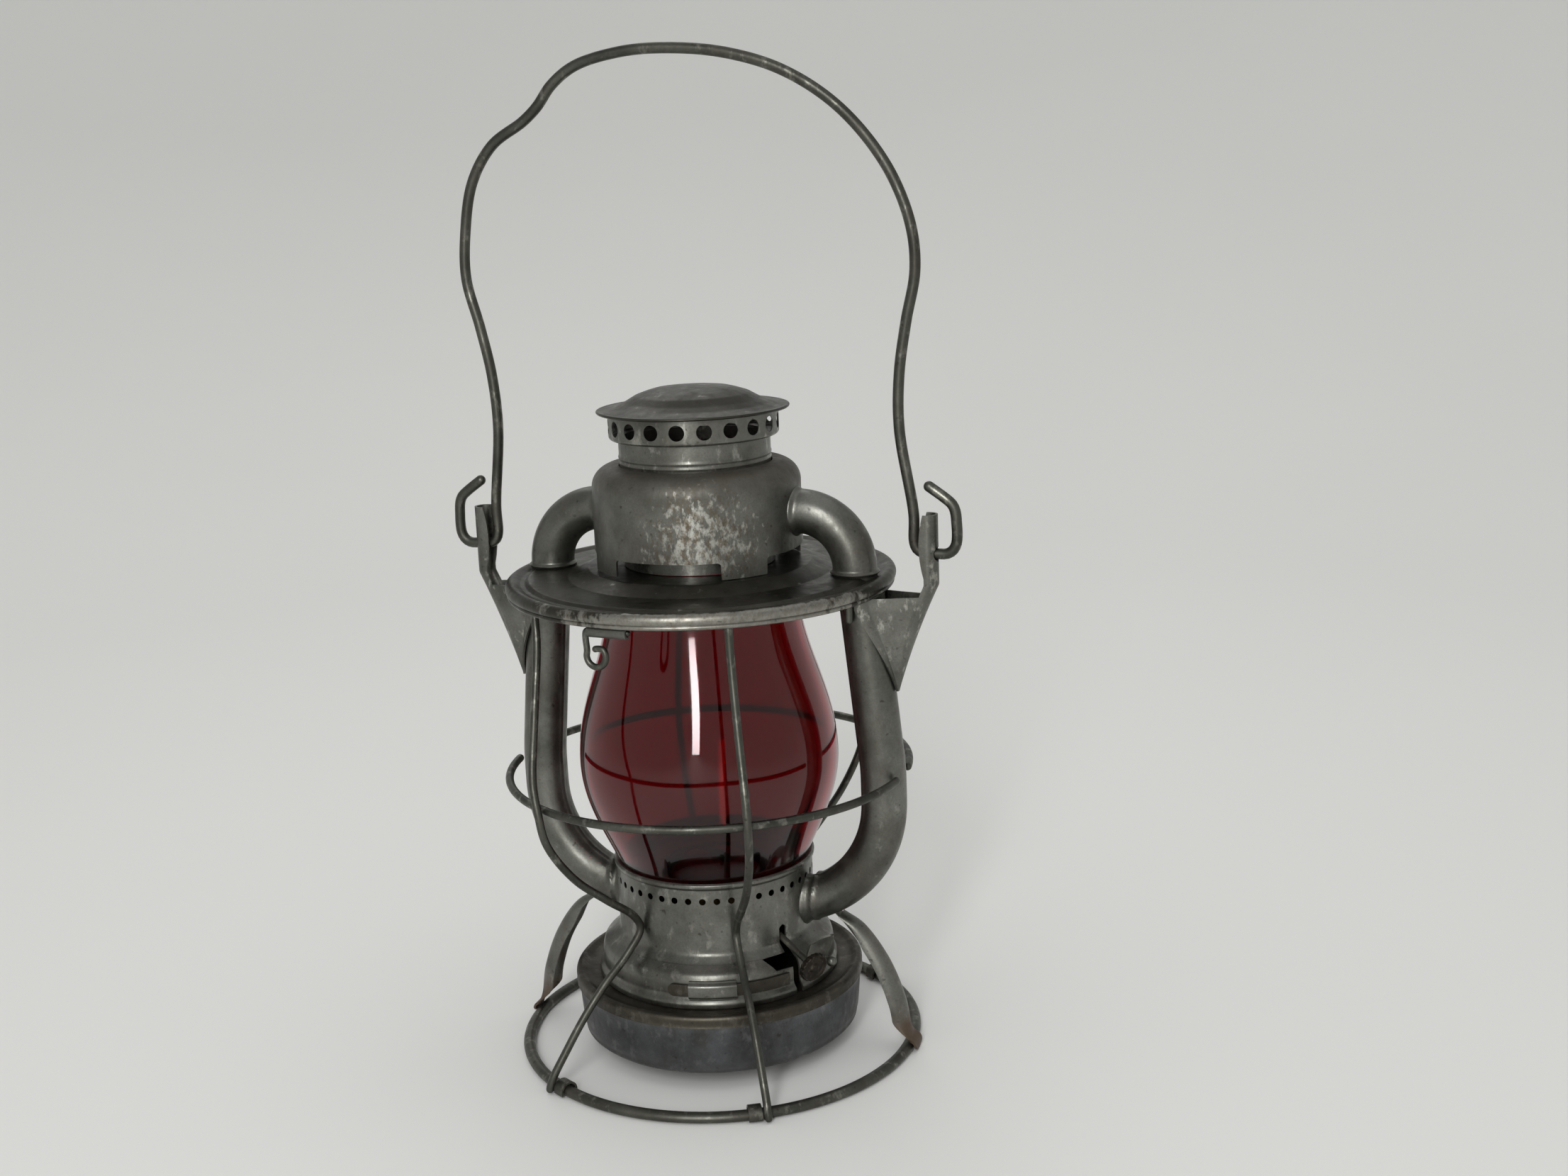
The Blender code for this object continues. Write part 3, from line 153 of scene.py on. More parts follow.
def arc(centre, radius, start, end, count):
    """centre + radius (cos t, sin t), for t from start to end in degrees."""
    turn = np.radians(np.linspace(start, end, count))
    return np.stack([centre[0] + radius * np.cos(turn), centre[1] + radius * np.sin(turn)], axis=1)


def distance_along(line):
    """How far along a line each of its points lies."""
    return np.concatenate([[0.0], np.cumsum(np.linalg.norm(np.diff(line, axis=0), axis=1))])


def even(line, count, cut=0.0):
    """The line at even steps, cut short by a length at both ends."""
    run = distance_along(line)
    wanted = np.linspace(cut, run[-1] - cut, count)
    return np.stack([np.interp(wanted, run, axis) for axis in line.T], axis=1)


def eased(corners, soft, step=0.0003):
    """Even steps through the corners, each point averaged over the length soft; both ends stay."""
    corners = np.array(corners, float)
    line = even(corners, max(int(distance_along(corners)[-1] / step), 12))
    reach = max(int(soft / step / 2), 1)
    weight = np.hanning(2 * reach + 3)[1:-1]
    before = 2 * line[0] - line[reach:0:-1]
    after = 2 * line[-1] - line[-2 : -reach - 2 : -1]
    longer = np.concatenate([before, line, after])
    return np.stack([np.convolve(axis, weight / weight.sum(), mode="valid") for axis in longer.T], axis=1)


def walled(outline, thick=SHEET):
    """A closed section: an outline down the outer side, then back along it, moved in by the sheet."""
    run = unit(np.gradient(outline, axis=0))
    outward = np.stack([-run[:, 1], run[:, 0]], axis=1)
    return np.concatenate([outline, (outline - thick * outward)[::-1]])


def knocks(angle, height, depth, start):
    """depth times a sum of slow waves over angle and height, as knocks leave it."""
    turn = np.radians(angle)
    slow = 0.5 * np.sin(2 * turn + start + 25 * height)
    middle = 0.3 * np.sin(3 * turn - 2 * start + 60 * height)
    return depth * (slow + middle + 0.2 * np.sin(7 * turn + 5 * start - 90 * height))


def turned(section, columns, depth=0.0, start=0.0, first=0.0, closed=True):
    """A section (radius, height) carried round the axis from a first angle, its radius moved by knocks."""
    angle = first + full_turn(columns)[None, :]
    radius, height = section[:, :1], section[:, 1:]
    moved = radius + knocks(angle, height, depth, start) * (radius > depth)
    return quads(polar(angle, moved, height), round_rows=closed, round_columns=True)


# %% [markdown]
# ## Wires, tubes and strips
# A wire is a ring of points carried along a line. Its ring stands square to the line's heading, and a
# fixed side direction keeps it from twisting. A quarter round closes each end, as a filed wire end has.
# A strip or a pressed ear is a grid in the middle of the sheet, and half the thickness is added to each
# face along the normal.

# %% Rings along a line, and sheets about a grid
def bent(knots, count):
    """A smooth line through knots: cubic pieces whose pace follows the square root of each chord."""
    knots = np.array(knots, float)
    time = np.concatenate([[0.0], np.cumsum(np.sqrt(np.linalg.norm(np.diff(knots, axis=0), axis=1)))])
    slope = np.gradient(knots, time, axis=0)
    dense = np.linspace(0.0, time[-1], 900)
    span = np.clip(np.searchsorted(time, dense, side="right") - 1, 0, len(knots) - 2)
    width = np.diff(time)[span][:, None]
    u = (dense - time[span])[:, None] / width
    curve = (1 + 2 * u) * (1 - u) ** 2 * knots[span] + u * (1 - u) ** 2 * width * slope[span]
    curve += u**2 * (3 - 2 * u) * knots[span + 1] + u**2 * (u - 1) * width * slope[span + 1]
    return even(curve, count)


def ringed(path, radius, side, turns):
    """p + r (n cos s + b sin s) for each point p: n is the side squared to the heading, b their cross."""
    heading = unit(np.gradient(path, axis=0))
    side = np.broadcast_to(np.array(side, float), heading.shape)
    n = unit(side - (side * heading).sum(axis=1, keepdims=True) * heading)
    b = np.cross(heading, n)
    ring = n[:, None] * np.cos(turns)[:, None] + b[:, None] * np.sin(turns)[:, None]
    return path[:, None] + radius[..., None] * ring


def wire(path, radius, side, sides=18):
    """A round wire along a path, whose ends close with a quarter round inside the path's length."""
    count = len(path)
    path = even(path, count, radius)
    first, last = unit(path[0] - path[1]), unit(path[-1] - path[-2])
    quarter = np.linspace(0.0, np.pi / 2, 6)[1:, None]
    head = path[0] + first * radius * np.sin(quarter)
    tail = path[-1] + last * radius * np.sin(quarter)
    rim = radius * np.cos(quarter[:, 0])
    radii = np.concatenate([rim[::-1], np.full(count, radius), rim])
    line = np.concatenate([head[::-1], path, tail])
    turns = full_turn(sides, 2 * np.pi)
    return quads(ringed(line, radii[:, None], side, turns), round_columns=True)


def slab(grid, thick=SHEET):
    """A sheet about a grid: half the thickness along the normal to each face, joined round the rim."""
    normal = unit(np.cross(np.gradient(grid, axis=0), np.gradient(grid, axis=1)))
    outer, inner = grid + normal * thick / 2, grid - normal * thick / 2
    loop = np.concatenate([outer, inner[:, ::-1]], axis=1)
    return [quads(loop, round_columns=True)] + [quads(np.stack([outer[k], inner[k]])) for k in (0, -1)]


# %% [markdown]
# ## The camera
# The photograph looks at the lantern from its right front, a little from above, with the camera held
# slightly off level. The place, heading, pitch and roll come from the widths and heights of the round
# rims in the picture, which pin a camera well because each rim is a circle of known size.

# %% Camera
SENSOR = 36.0
IMAGE_WIDTH = 2212
FOCAL_PIXELS = 2697.0
CAMERA_PLACE = (0.2542, -0.6807, 0.3459)
HEADING, PITCH, ROLL = 17.95, 12.59, -2.26

scene = bpy.context.scene
camera = bpy.data.objects.new("camera", bpy.data.cameras.new("camera"))
camera.data.sensor_width = SENSOR
camera.data.lens = SENSOR * FOCAL_PIXELS / IMAGE_WIDTH
turn = Matrix.Rotation(math.radians(HEADING), 4, "Z")
turn = turn @ Matrix.Rotation(math.radians(90.0 - PITCH), 4, "X")
turn = turn @ Matrix.Rotation(math.radians(ROLL), 4, "Z")
camera.matrix_world = Matrix.Translation(CAMERA_PLACE) @ turn
camera.data.clip_start = 0.01
scene.collection.objects.link(camera)
scene.camera = camera
scene.view_settings.view_transform = "Standard"
print("lens", round(camera.data.lens, 1), "mm")

# %% [markdown]
# ## Colours and nodes
# Colours are written as the hex values that a colour picker shows, and one function makes them linear,
# as the shaders want them. One more function adds any node with its settings and its links, so that a
# material reads as a list of what it is made of.

# %% Colour and node helpers
RANGE, MIX = "ShaderNodeMapRange", "ShaderNodeMix"
MATH, VECTOR = "ShaderNodeMath", "ShaderNodeVectorMath"


def linear(code):
    """A hex colour made linear: c / 12.92 below 0.04045, else ((c + 0.055) / 1.055) ** 2.4."""
    parts = np.array([int(code[i : i + 2], 16) for i in (1, 3, 5)]) / 255.0
    return (*np.where(parts <= 0.04045, parts / 12.92, ((parts + 0.055) / 1.055) ** 2.4), 1.0)


def add(tree, kind, sockets, out=0, **settings):
    """Adds a node: settings are its properties, sockets its inputs as values or links; gives one output."""
    node = tree.nodes.new(kind)
    for name, value in settings.items():
        setattr(node, name, value)
    for name, value in sockets.items():
        if isinstance(value, bpy.types.NodeSocket):
            tree.links.new(value, node.inputs[name])
        else:
            node.inputs[name].default_value = value
    return node.outputs[out] if len(node.outputs) else None


def bare_material(name):
    """A material whose node tree is empty."""
    material = bpy.data.materials.new(name)
    material.use_nodes = True
    material.node_tree.nodes.clear()
    return material, material.node_tree


def show(tree, sockets):
    """Ends a material: the shader with these sockets, and the output that shows it."""
    shader = add(tree, "ShaderNodeBsdfPrincipled", sockets)
    add(tree, "ShaderNodeOutputMaterial", {"Surface": shader})


# %% [markdown]
# ## Floor and light
# A pale floor that turns up far behind the lantern, as a studio's paper sweep does, so that no edge shows.
# A tall lamp beyond the camera and above it gives the narrow upright streak on the globe and the soft
# bright band down the front of each round piece. A grid on it keeps its light off the far floor. One lamp
# overhead fills the tops, and one behind lights the red glass through. The surround lights the sweep
# evenly, and metal sees it dimmer, as a dark ceiling.

# %% Stage and lamps
FLOOR_FLAT, SWEEP, FLOOR_SINK = 0.9, 2.4, 0.00005
FLOOR_COLOUR, FLOOR_CLOUD = "#d6d6d4", "#dadad8"
SURROUND_COLOUR = "#d2d2d1"
SURROUND_LIGHT, SURROUND_GLOSS = 1.15, 0.55
LAMP_AIM = (0.0, 0.0, 0.15)


def stage_floor():
    """Rings at height zero out to the flat's edge, then up a round: z = R (1 - cos t)."""
    sweep = arc((FLOOR_FLAT, SWEEP), SWEEP, -90.0, -20.0, 24)
    section = np.concatenate([[(0.0, 0.0), (0.3, 0.0), (0.6, 0.0)], sweep]) - (0.0, FLOOR_SINK)
    mesh = welded("studio_floor", [turned(section, 96, closed=False)])
    if mesh.polygons[0].normal.z < 0.0:
        mesh.flip_normals()
    mesh.shade_smooth()
    material, tree = bare_material("matt_paper")
    spot = add(tree, "ShaderNodeTexCoord", {}, "Object")
    cloud = add(tree, "ShaderNodeTexNoise", {"Vector": spot, "Scale": 2.0, "Detail": 3.0})
    tones = {0: cloud, 6: linear(FLOOR_COLOUR), 7: linear(FLOOR_CLOUD)}
    show(tree, {"Base Color": add(tree, MIX, tones, 2, data_type="RGBA"), "Roughness": 0.8})
    mesh.materials.append(material)
    placed("studio_floor", mesh)


def surround():
    """A world of one pale colour, dimmer to glossy rays than to the others."""
    world = bpy.data.worlds.new("studio")
    world.use_nodes = True
    tree = world.node_tree
    tree.nodes.clear()
    glossy = add(tree, "ShaderNodeLightPath", {}, "Is Glossy Ray")
    strength = add(tree, RANGE, {0: glossy, "To Min": SURROUND_LIGHT, "To Max": SURROUND_GLOSS})
    pale = add(tree, "ShaderNodeBackground", {"Color": linear(SURROUND_COLOUR), "Strength": strength})
    add(tree, "ShaderNodeOutputWorld", {"Surface": pale})
    scene.world = world


def side_frame(heading):
    """Three square directions, the third against the heading, as a lamp shines along its own -Z."""
    back = unit(-heading)
    across = unit(np.cross([0.0, 0.0, 1.0], back))
    return across, np.cross(back, across), back


def lamp(name, place, width, tall, watts, spread=180.0):
    """An oblong area lamp that faces the lantern's middle; a grid on it narrows its spread of light."""
    light = bpy.data.lights.new(name, "AREA")
    light.shape = "RECTANGLE"
    light.size, light.size_y, light.energy = width, tall, watts
    light.spread = math.radians(spread)
    obj = bpy.data.objects.new(name, light)
    heading = np.array(LAMP_AIM) - np.array(place)
    facing = Matrix(np.stack(side_frame(heading), axis=1).tolist()).to_4x4()
    obj.matrix_world = Matrix.Translation(place) @ facing
    scene.collection.objects.link(obj)


stage_floor()
surround()
lamp("key", (0.224, -1.68, 0.90), 0.22, 1.36, 5.2, 90.0)
lamp("overhead", (0.25, 0.15, 1.5), 1.2, 1.2, 1.5)
lamp("back", (-0.6, 1.1, 1.4), 0.9, 0.9, 2.5)

# %% [markdown]
# ## Old tinned sheet
# Tinplate is thin steel with a coat of tin. A century dulls it to a soft grey, wears it bright where
# hands and rags go, and lets brown stains through. Noise at several sizes gives that: clouds of tone as
# wide as a thumb, flakes and stains of a few millimetres drawn out down the sheet, pits, and a fine
# grain. The real grain is finer than a render shows, so it is drawn at 0.7 mm. A worn place can be set
# about a point, as on the front of the hood. Kept to a rim by its distance from the axis, the same patch
# is a painted highlight: a bright band along the front of the crown plate's bead, where the lamp would
# shine. A band by height lays stain on a sheet: rust at the feet of the legs, stain low on the fount,
# and on the hood's shoulder painted shade as well as soot. Each layer is a mask and a colour, laid over
# the tone so far.

# %% Aged metal
SPECK, PIT, GRAIN = "#63533c", "#2f2921", "#2f2e2b"


def aged_metal(
    name, dull, deep, worn, stain, rough, worn_share, stain_share, start,
    flake=4.6, worn_from=0.56, rub_and_highlight=None, stain_and_shade=None, relief=1.0,
):
    """Dull over deep tone by clouds, worn bright by flakes (mm), then stained, darkened by height, pitted,
    grained.

    The worn patch is (centre, near, far, lift, least radius, specks): wear on the hood, a painted highlight
    on the plate's rim. The band by height is (clear height, darkest height, share): stain, and painted
    shade on the hood's shoulder.
    """
    material, tree = bare_material(name)
    spot = add(tree, "ShaderNodeTexCoord", {}, "Object")
    shift = (start, 0.7 * start, 0.3 * start)
    moved = add(tree, "ShaderNodeMapping", {"Vector": spot, "Location": shift})
    drawn = add(tree, "ShaderNodeMapping", {"Vector": moved, "Scale": (1.0, 1.0, 0.6)})
    plan = [("cloud", 24.0, 5.0, moved), ("flake", flake, 6.0, drawn), ("stain", 15.0, 7.0, drawn)]
    plan += [("speck", 1.9, 3.0, drawn), ("pit", 2.3, 1.0, moved), ("grain", 0.7, 2.0, moved)]
    pattern = {}
    for kind, size_mm, detail, where in plan:
        knobs = {"Vector": where, "Scale": 1000.0 / size_mm, "Detail": detail, "Roughness": 0.64}
        pattern[kind] = add(tree, "ShaderNodeTexNoise", knobs)

    layers = [(add(tree, RANGE, {0: pattern["cloud"], 1: 0.34, 2: 0.66}), dull)]
    bright = pattern["flake"]
    if rub_and_highlight:
        # About a point this patch is wear, as on the hood; kept to the crown plate's rim it is a painted
        # highlight, a bright band along the front of the bead.
        centre, near, far, lift, least, speckled = rub_and_highlight
        away = add(tree, VECTOR, {0: spot, 1: centre}, "Value", operation="DISTANCE")
        rubbed_and_highlit = add(tree, RANGE, {0: away, 1: near, 2: far, 3: 1.0, 4: 0.0})
        level = add(tree, VECTOR, {0: spot, 1: (1.0, 1.0, 0.0)}, operation="MULTIPLY")
        out = add(tree, VECTOR, {0: level}, "Value", operation="LENGTH")
        rim = add(tree, RANGE, {0: out, 1: least, 2: least + 0.0015})
        rubbed_and_highlit = add(tree, MATH, {0: rubbed_and_highlit, 1: rim}, operation="MULTIPLY")
        bright = add(tree, MATH, {0: rubbed_and_highlit, 1: lift, 2: bright}, operation="MULTIPLY_ADD")
    flakes = add(tree, RANGE, {0: bright, 1: worn_from, 2: worn_from + 0.12, 4: worn_share})
    layers.append((flakes, worn))
    if rub_and_highlight:
        specks = add(tree, RANGE, {0: pattern["speck"], 1: 0.50, 2: 0.60, 4: speckled})
        specks = add(tree, MATH, {0: specks, 1: rubbed_and_highlit}, operation="MULTIPLY")
        layers.append((specks, SPECK))
    stained = add(tree, RANGE, {0: pattern["stain"], 1: 0.52, 2: 0.68, 4: stain_share})
    # A band by height with a ragged edge lays the stain colour on: rust at the feet of the legs, stain low
    # on the fount, and on the hood's shoulder painted shade together with soot.
    if stain_and_shade:
        clear, darkest, share = stain_and_shade
        ragged = add(tree, RANGE, {0: pattern["stain"], 1: 0.3, 2: 0.7, 3: -0.004, 4: 0.004})
        rise = add(tree, "ShaderNodeSeparateXYZ", {0: spot}, "Z")
        rise = add(tree, MATH, {0: rise, 1: ragged}, operation="ADD")
        height_stain_and_shade = add(tree, RANGE, {0: rise, 1: clear, 2: darkest, 4: share})
        stained = add(tree, MATH, {0: stained, 1: height_stain_and_shade}, operation="MAXIMUM")
    layers.append((stained, stain))
    layers.append((add(tree, RANGE, {0: pattern["pit"], 1: 0.68, 2: 0.80, 4: 0.6}), PIT))
    layers.append((add(tree, RANGE, {0: pattern["grain"], 1: 0.3, 2: 0.7, 4: 0.22}), GRAIN))
    tone = linear(deep)
    for mask, colour in layers:
        tone = add(tree, MIX, {0: mask, 6: tone, 7: linear(colour)}, 2, data_type="RGBA")

    shine = {0: pattern["flake"], 1: 0.35, 2: 0.65, 3: rough + 0.07, 4: rough - 0.07}
    gloss = add(tree, RANGE, shine)
    matt = add(tree, MATH, {0: stained, 1: 0.2, 2: gloss}, operation="MULTIPLY_ADD")
    metal = add(tree, RANGE, {0: stained, 3: 0.92, 4: 0.5})
    fine = {0: pattern["grain"], 1: 0.43, 2: pattern["flake"]}
    height = add(tree, MATH, fine, operation="MULTIPLY_ADD")
    dent = {"Height": height, "Strength": 0.3 * relief, "Distance": 0.00018}
    bump = add(tree, "ShaderNodeBump", dent)
    show(tree, {"Base Color": tone, "Roughness": matt, "Metallic": metal, "Normal": bump})
    return material


# %% [markdown]
# ## The finishes of this lantern
# One recipe serves every metal here, with a palette for each: dull tin on the tubes, tin rusted at the
# feet of the legs, tin under soot on the crown, cold grey tin on the fount and old oil on its deck, tinned
# wire worn to bare steel, blackened iron on the knob, and brass gone brown on the burner. Tin is greyer
# and softer in its gloss than bare steel; brass keeps a warm tone even when dull; soot and oil take the
# gloss away and leave a dark brown film.

# %% Palettes and finishes
TIN = {"dull": "#7f7f79", "deep": "#5b5b55", "worn": "#c0bfb7", "stain": "#4a443a"}
FOUNT = {"dull": "#6f7174", "deep": "#4b4c4c", "worn": "#a3a5a4", "stain": "#35332f"}
RUSTY = {**TIN, "stain": "#55412f"}
# The bright worn tone of the soot palette also colours the painted highlight on the plate's rim.
SOOT = {"dull": "#4b4a43", "deep": "#34332d", "worn": "#b3b1a8", "stain": "#322e27"}
WIRE = {"dull": "#62625b", "deep": "#43433e", "worn": "#9c9b91", "stain": "#40392f"}
GRIME = {"dull": "#57534a", "deep": "#403c35", "worn": "#85817a", "stain": "#322c25"}
IRON = {"dull": "#37322c", "deep": "#231f1b", "worn": "#6f675a", "stain": "#2b2019"}
BRASS = {"dull": "#8f7848", "deep": "#6a5733", "worn": "#c0a669", "stain": "#4a3c28"}
HOOD_RUB = ((0.015, -0.037, 0.209), 0.008, 0.030, 0.24, 0.0, 0.65)
# Painted highlight: a bright front patch on the crown plate's rolled bead, laid through its worn flakes and
# a few specks.
RIM_PAINTED_HIGHLIGHT = ((0.030, -0.074, 0.188), 0.035, 0.085, 0.36, 0.0735, 0.25)
# The hood's band by height darkens its shoulder: painted shade there, together with soot.
tin_hood = aged_metal(
    "tinned_sheet_hood", **TIN, rough=0.42, worn_share=0.75, stain_share=0.45, start=3.1,
    flake=2.2, worn_from=0.66, rub_and_highlight=HOOD_RUB, stain_and_shade=(0.224, 0.236, 0.85),
)
tin_vent = aged_metal(
    "tinned_sheet_vent", **TIN, rough=0.38, worn_share=0.5, stain_share=0.4, start=5.2,
)
tin_tube = aged_metal(
    "tinned_sheet_tube", **TIN, rough=0.38, worn_share=0.4, stain_share=0.6, start=7.7, worn_from=0.62,
)
tin_leg = aged_metal(
    "tinned_sheet_leg", **RUSTY, rough=0.38, worn_share=0.4, stain_share=0.6, start=8.6,
    worn_from=0.62, stain_and_shade=(0.019, 0.009, 0.85),
)
tin_ear = aged_metal(
    "tinned_sheet_ear", **TIN, rough=0.42, worn_share=0.6, stain_share=0.6, start=9.4, flake=3.2,
)
tin_collar = aged_metal(
    "tinned_sheet_collar", **TIN, rough=0.34, worn_share=0.35, stain_share=0.4, start=12.9, relief=0.6,
)
tin_fount = aged_metal(
    "tinned_sheet_fount", **FOUNT, rough=0.40, worn_share=0.3, stain_share=0.7, start=21.3,
    stain_and_shade=(0.017, 0.003, 0.8),
)
grimy_tin = aged_metal(
    "oily_tinned_sheet", **GRIME, rough=0.46, worn_share=0.35, stain_share=0.7, start=26.8,
)
# The crown plate's rim bead gets a painted highlight along its front in this finish.
sooty_tin = aged_metal(
    "sooty_tinned_sheet", **SOOT, rough=0.38, worn_share=0.6, stain_share=0.5, start=31.9,
    worn_from=0.64, rub_and_highlight=RIM_PAINTED_HIGHLIGHT,
)
worn_wire = aged_metal(
    "worn_tinned_wire", **WIRE, rough=0.42, worn_share=0.6, stain_share=0.5, start=43.3,
)
dark_iron = aged_metal(
    "blackened_cast_iron", **IRON, rough=0.48, worn_share=0.5, stain_share=0.5, start=49.7, flake=1.6,
)
old_brass = aged_metal("dull_brass", **BRASS, rough=0.42, worn_share=0.4, stain_share=0.6, start=55.1)
print(len(bpy.data.materials), "materials")

# %% [markdown]
# ## Ruby glass and cotton
# Ruby glass is coloured through and through, so light that crosses a wall loses green and blue and little
# red. The shader's own colour on a clear wall of real thickness gives that, deeper where the wall is seen
# along its length. The wick is a flat woven cotton tape, charred at its tip.

# %% Glass and wick
RUBY = "#921024"
GLASS_IOR = 1.5
DUST_MM, THREAD_MM = 18.0, 2.0


def ruby_glass():
    """Clear coloured glass with a thin uneven film of dust that softens its gloss here and there."""
    material, tree = bare_material("ruby_glass")
    spot = add(tree, "ShaderNodeTexCoord", {}, "Object")
    film = add(tree, "ShaderNodeTexNoise", {"Vector": spot, "Scale": 1000.0 / DUST_MM, "Detail": 4.0})
    haze = add(tree, RANGE, {0: film, 1: 0.42, 2: 0.72, 3: 0.025, 4: 0.12})
    look = {"Base Color": linear(RUBY), "Transmission Weight": 1.0, "IOR": GLASS_IOR, "Roughness": haze}
    show(tree, look)
    return material


def woven_cotton():
    """Waves a thread apart up the tape, drawn coarse enough to show, darkened towards the tip."""
    material, tree = bare_material("woven_cotton_tape")
    spot = add(tree, "ShaderNodeTexCoord", {}, "Object")
    knobs = {"Vector": spot, "Scale": 320.0 / THREAD_MM, "Distortion": 1.5}
    weave = add(tree, "ShaderNodeTexWave", knobs, 1, bands_direction="Z")
    tones = {0: weave, 6: linear("#b3a88c"), 7: linear("#d8d0b8")}
    tone = add(tree, MIX, tones, 2, data_type="RGBA")
    rise = add(tree, "ShaderNodeSeparateXYZ", {0: spot}, "Z")
    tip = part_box("wick")[1].z
    char = add(tree, RANGE, {0: rise, 1: tip - 0.004, 2: tip})
    burnt = add(tree, MIX, {0: char, 6: tone, 7: linear("#171412")}, 2, data_type="RGBA")
    bump = add(tree, "ShaderNodeBump", {"Height": weave, "Strength": 0.5, "Distance": 0.0003})
    show(tree, {"Base Color": burnt, "Roughness": 0.9, "Normal": bump})
    return material


ruby = ruby_glass()
cotton = woven_cotton()
print(ruby.name, cotton.name)

# %% [markdown]
# ## The base ring
# The lantern stands on one hoop of thick wire, its ends brazed into a circle. Its section is a rounded
# oval, as a drawn wire has after years of standing, so it is an oval turned round the axis.

# %% Base ring
RING_WIRE = 0.0047
ring_low, ring_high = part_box("base_ring")
ring_radius = ring_high.x - RING_WIRE / 2
ring_level = (ring_low.z + ring_high.z) / 2


def oval(centre, half_width, half_height, count=24):
    """A closed oval section: centre + (a cos t, b sin t)."""
    turn = full_turn(count, -2 * np.pi)
    across, up = half_width * np.cos(turn), half_height * np.sin(turn)
    return np.stack([centre[0] + across, centre[1] + up], axis=1)


dress("base_ring", [turned(oval((ring_radius, ring_level), RING_WIRE / 2, ring_level), 200)], worn_wire)

# %% [markdown]
# ## The wire guard
# Two hoops and four long wires keep knocks off the globe. Each long wire hooks over the top hoop, bulges
# past the guard hoop, comes in to the collar, and runs out again to the base ring, where a short band is
# folded over the ring beside its foot. A wire's line goes through a few knots given by height, radius and
# angle, as a wire bender's template would give them, and a round ring of points is carried along it.

# %% Hoops and guard wires
GUARD_WIRE = 0.0031
HOOP_WIRE = 0.0032
FIT = 0.0003
CLIP_LENGTH, TOUCH_RISE, FOOT_GAP = 0.005, 0.0090, 0.0004
GUARD_STEPS = (
    ((0.2, 0.10), (0.55, 0.50), (0.85, 0.92), (1.0, 1.0)),
    ((0.22, 0.05), (0.50, 0.30), (0.72, 0.64), (0.90, 0.94), (1.0, 1.0)),
    ((0.16, 0.16), (0.33, 0.42), (0.54, 0.66), (0.76, 0.85), (0.92, 0.97), (1.0, 1.0)),
)
TUBE_RADIUS = 0.0086
TUBE_TOP, TUBE_SIDE = 0.0645, 0.0713
GUARD_HOOP_RADIUS = TUBE_SIDE + 0.0076
TOP_HOOP_RADIUS = TUBE_TOP - 0.0015
COLLAR_RADIUS, SKIRT_HEIGHT = 0.0391, 0.0173
HOOP_TAIL = 0.0110
guard_level = sum(corner.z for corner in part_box("guard_hoop_front")) / 2
top_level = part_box("top_hoop_front")[1].z - 0.5 * HOOP_WIRE * math.cos(math.pi / 6)
collar_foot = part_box("collar")[0].z + SKIRT_HEIGHT


def hoop_turns(radius, axis):
    """The angles from end to end of a hoop whose wire stops at the faces of the two side tubes."""
    clear = TUBE_RADIUS + HOOP_WIRE / 2 + FIT
    end = 90.0 - math.degrees(math.acos((radius**2 + axis**2 - clear**2) / (2 * radius * axis)))
    return np.linspace(-end, end, 120)


def stretch(start, end, steps):
    """Knots (radius, height, angle) on the way: the radius by each step's swell, the rest by its share."""
    share, swell = np.array(steps).T
    return np.array(start) + np.stack([swell, share, share], axis=1) * (np.array(end) - start)


def guard_wire_line(top_angle, hoop_angle, collar_angle, foot_angle):
    """Knots (radius, height, angle): a hook over the top hoop, then bulge, collar touch and foot."""
    half = GUARD_WIRE / 2
    hook = arc((TOP_HOOP_RADIUS, top_level), HOOP_WIRE / 2 + half + 2 * FIT, 205.0, 0.0, 6)
    places = [(hook[-1][0], top_level, top_angle)]
    places += [(GUARD_HOOP_RADIUS + HOOP_WIRE / 2 + half + FIT, guard_level, hoop_angle)]
    places += [(COLLAR_RADIUS + FIT + half, collar_foot + TOUCH_RISE, collar_angle)]
    places += [(ring_radius + RING_WIRE / 2 + half + FIT, ring_level, foot_angle)]
    knots = [np.column_stack([hook, np.full(len(hook), top_angle)])]
    knots += [stretch(*way) for way in zip(places, places[1:], GUARD_STEPS)]
    knots += [[(places[-1][0], FOOT_GAP, foot_angle)]]
    radius, height, angle = np.concatenate(knots).T
    return bent(polar(angle, radius, height), 220)


GUARD_WIRES = {
    "front_right": (28.0, 29.0, 30.0, 31.0),
    "front_left": (-50.0, -31.0, -27.0, -34.0),
    "back_right": (142.0, 147.0, 150.0, 145.0),
    "back_left": (-151.0, -150.0, -150.0, -145.0),
}
for corner, angles in GUARD_WIRES.items():
    sideways = polar(angles[1] + 90.0, 1.0, 0.0)
    dress("guard_wire_" + corner, [wire(guard_wire_line(*angles), GUARD_WIRE / 2, sideways)], worn_wire)
    hug = RING_WIRE / 2 + 2 * FIT + SHEET / 2
    band = arc((ring_radius, ring_level), hug, -20.0, 200.0, 28)
    reach = GUARD_WIRE / 2 + FIT + CLIP_LENGTH * np.linspace(0.0, 1.0, 8)
    reach = np.degrees(reach / ring_radius)
    turns = angles[-1] + reach * (-1 if angles[-1] > 0 else 1)
    dress("foot_clip_" + corner, slab(polar(turns[:, None], band[:, 0], band[:, 1])), worn_wire)
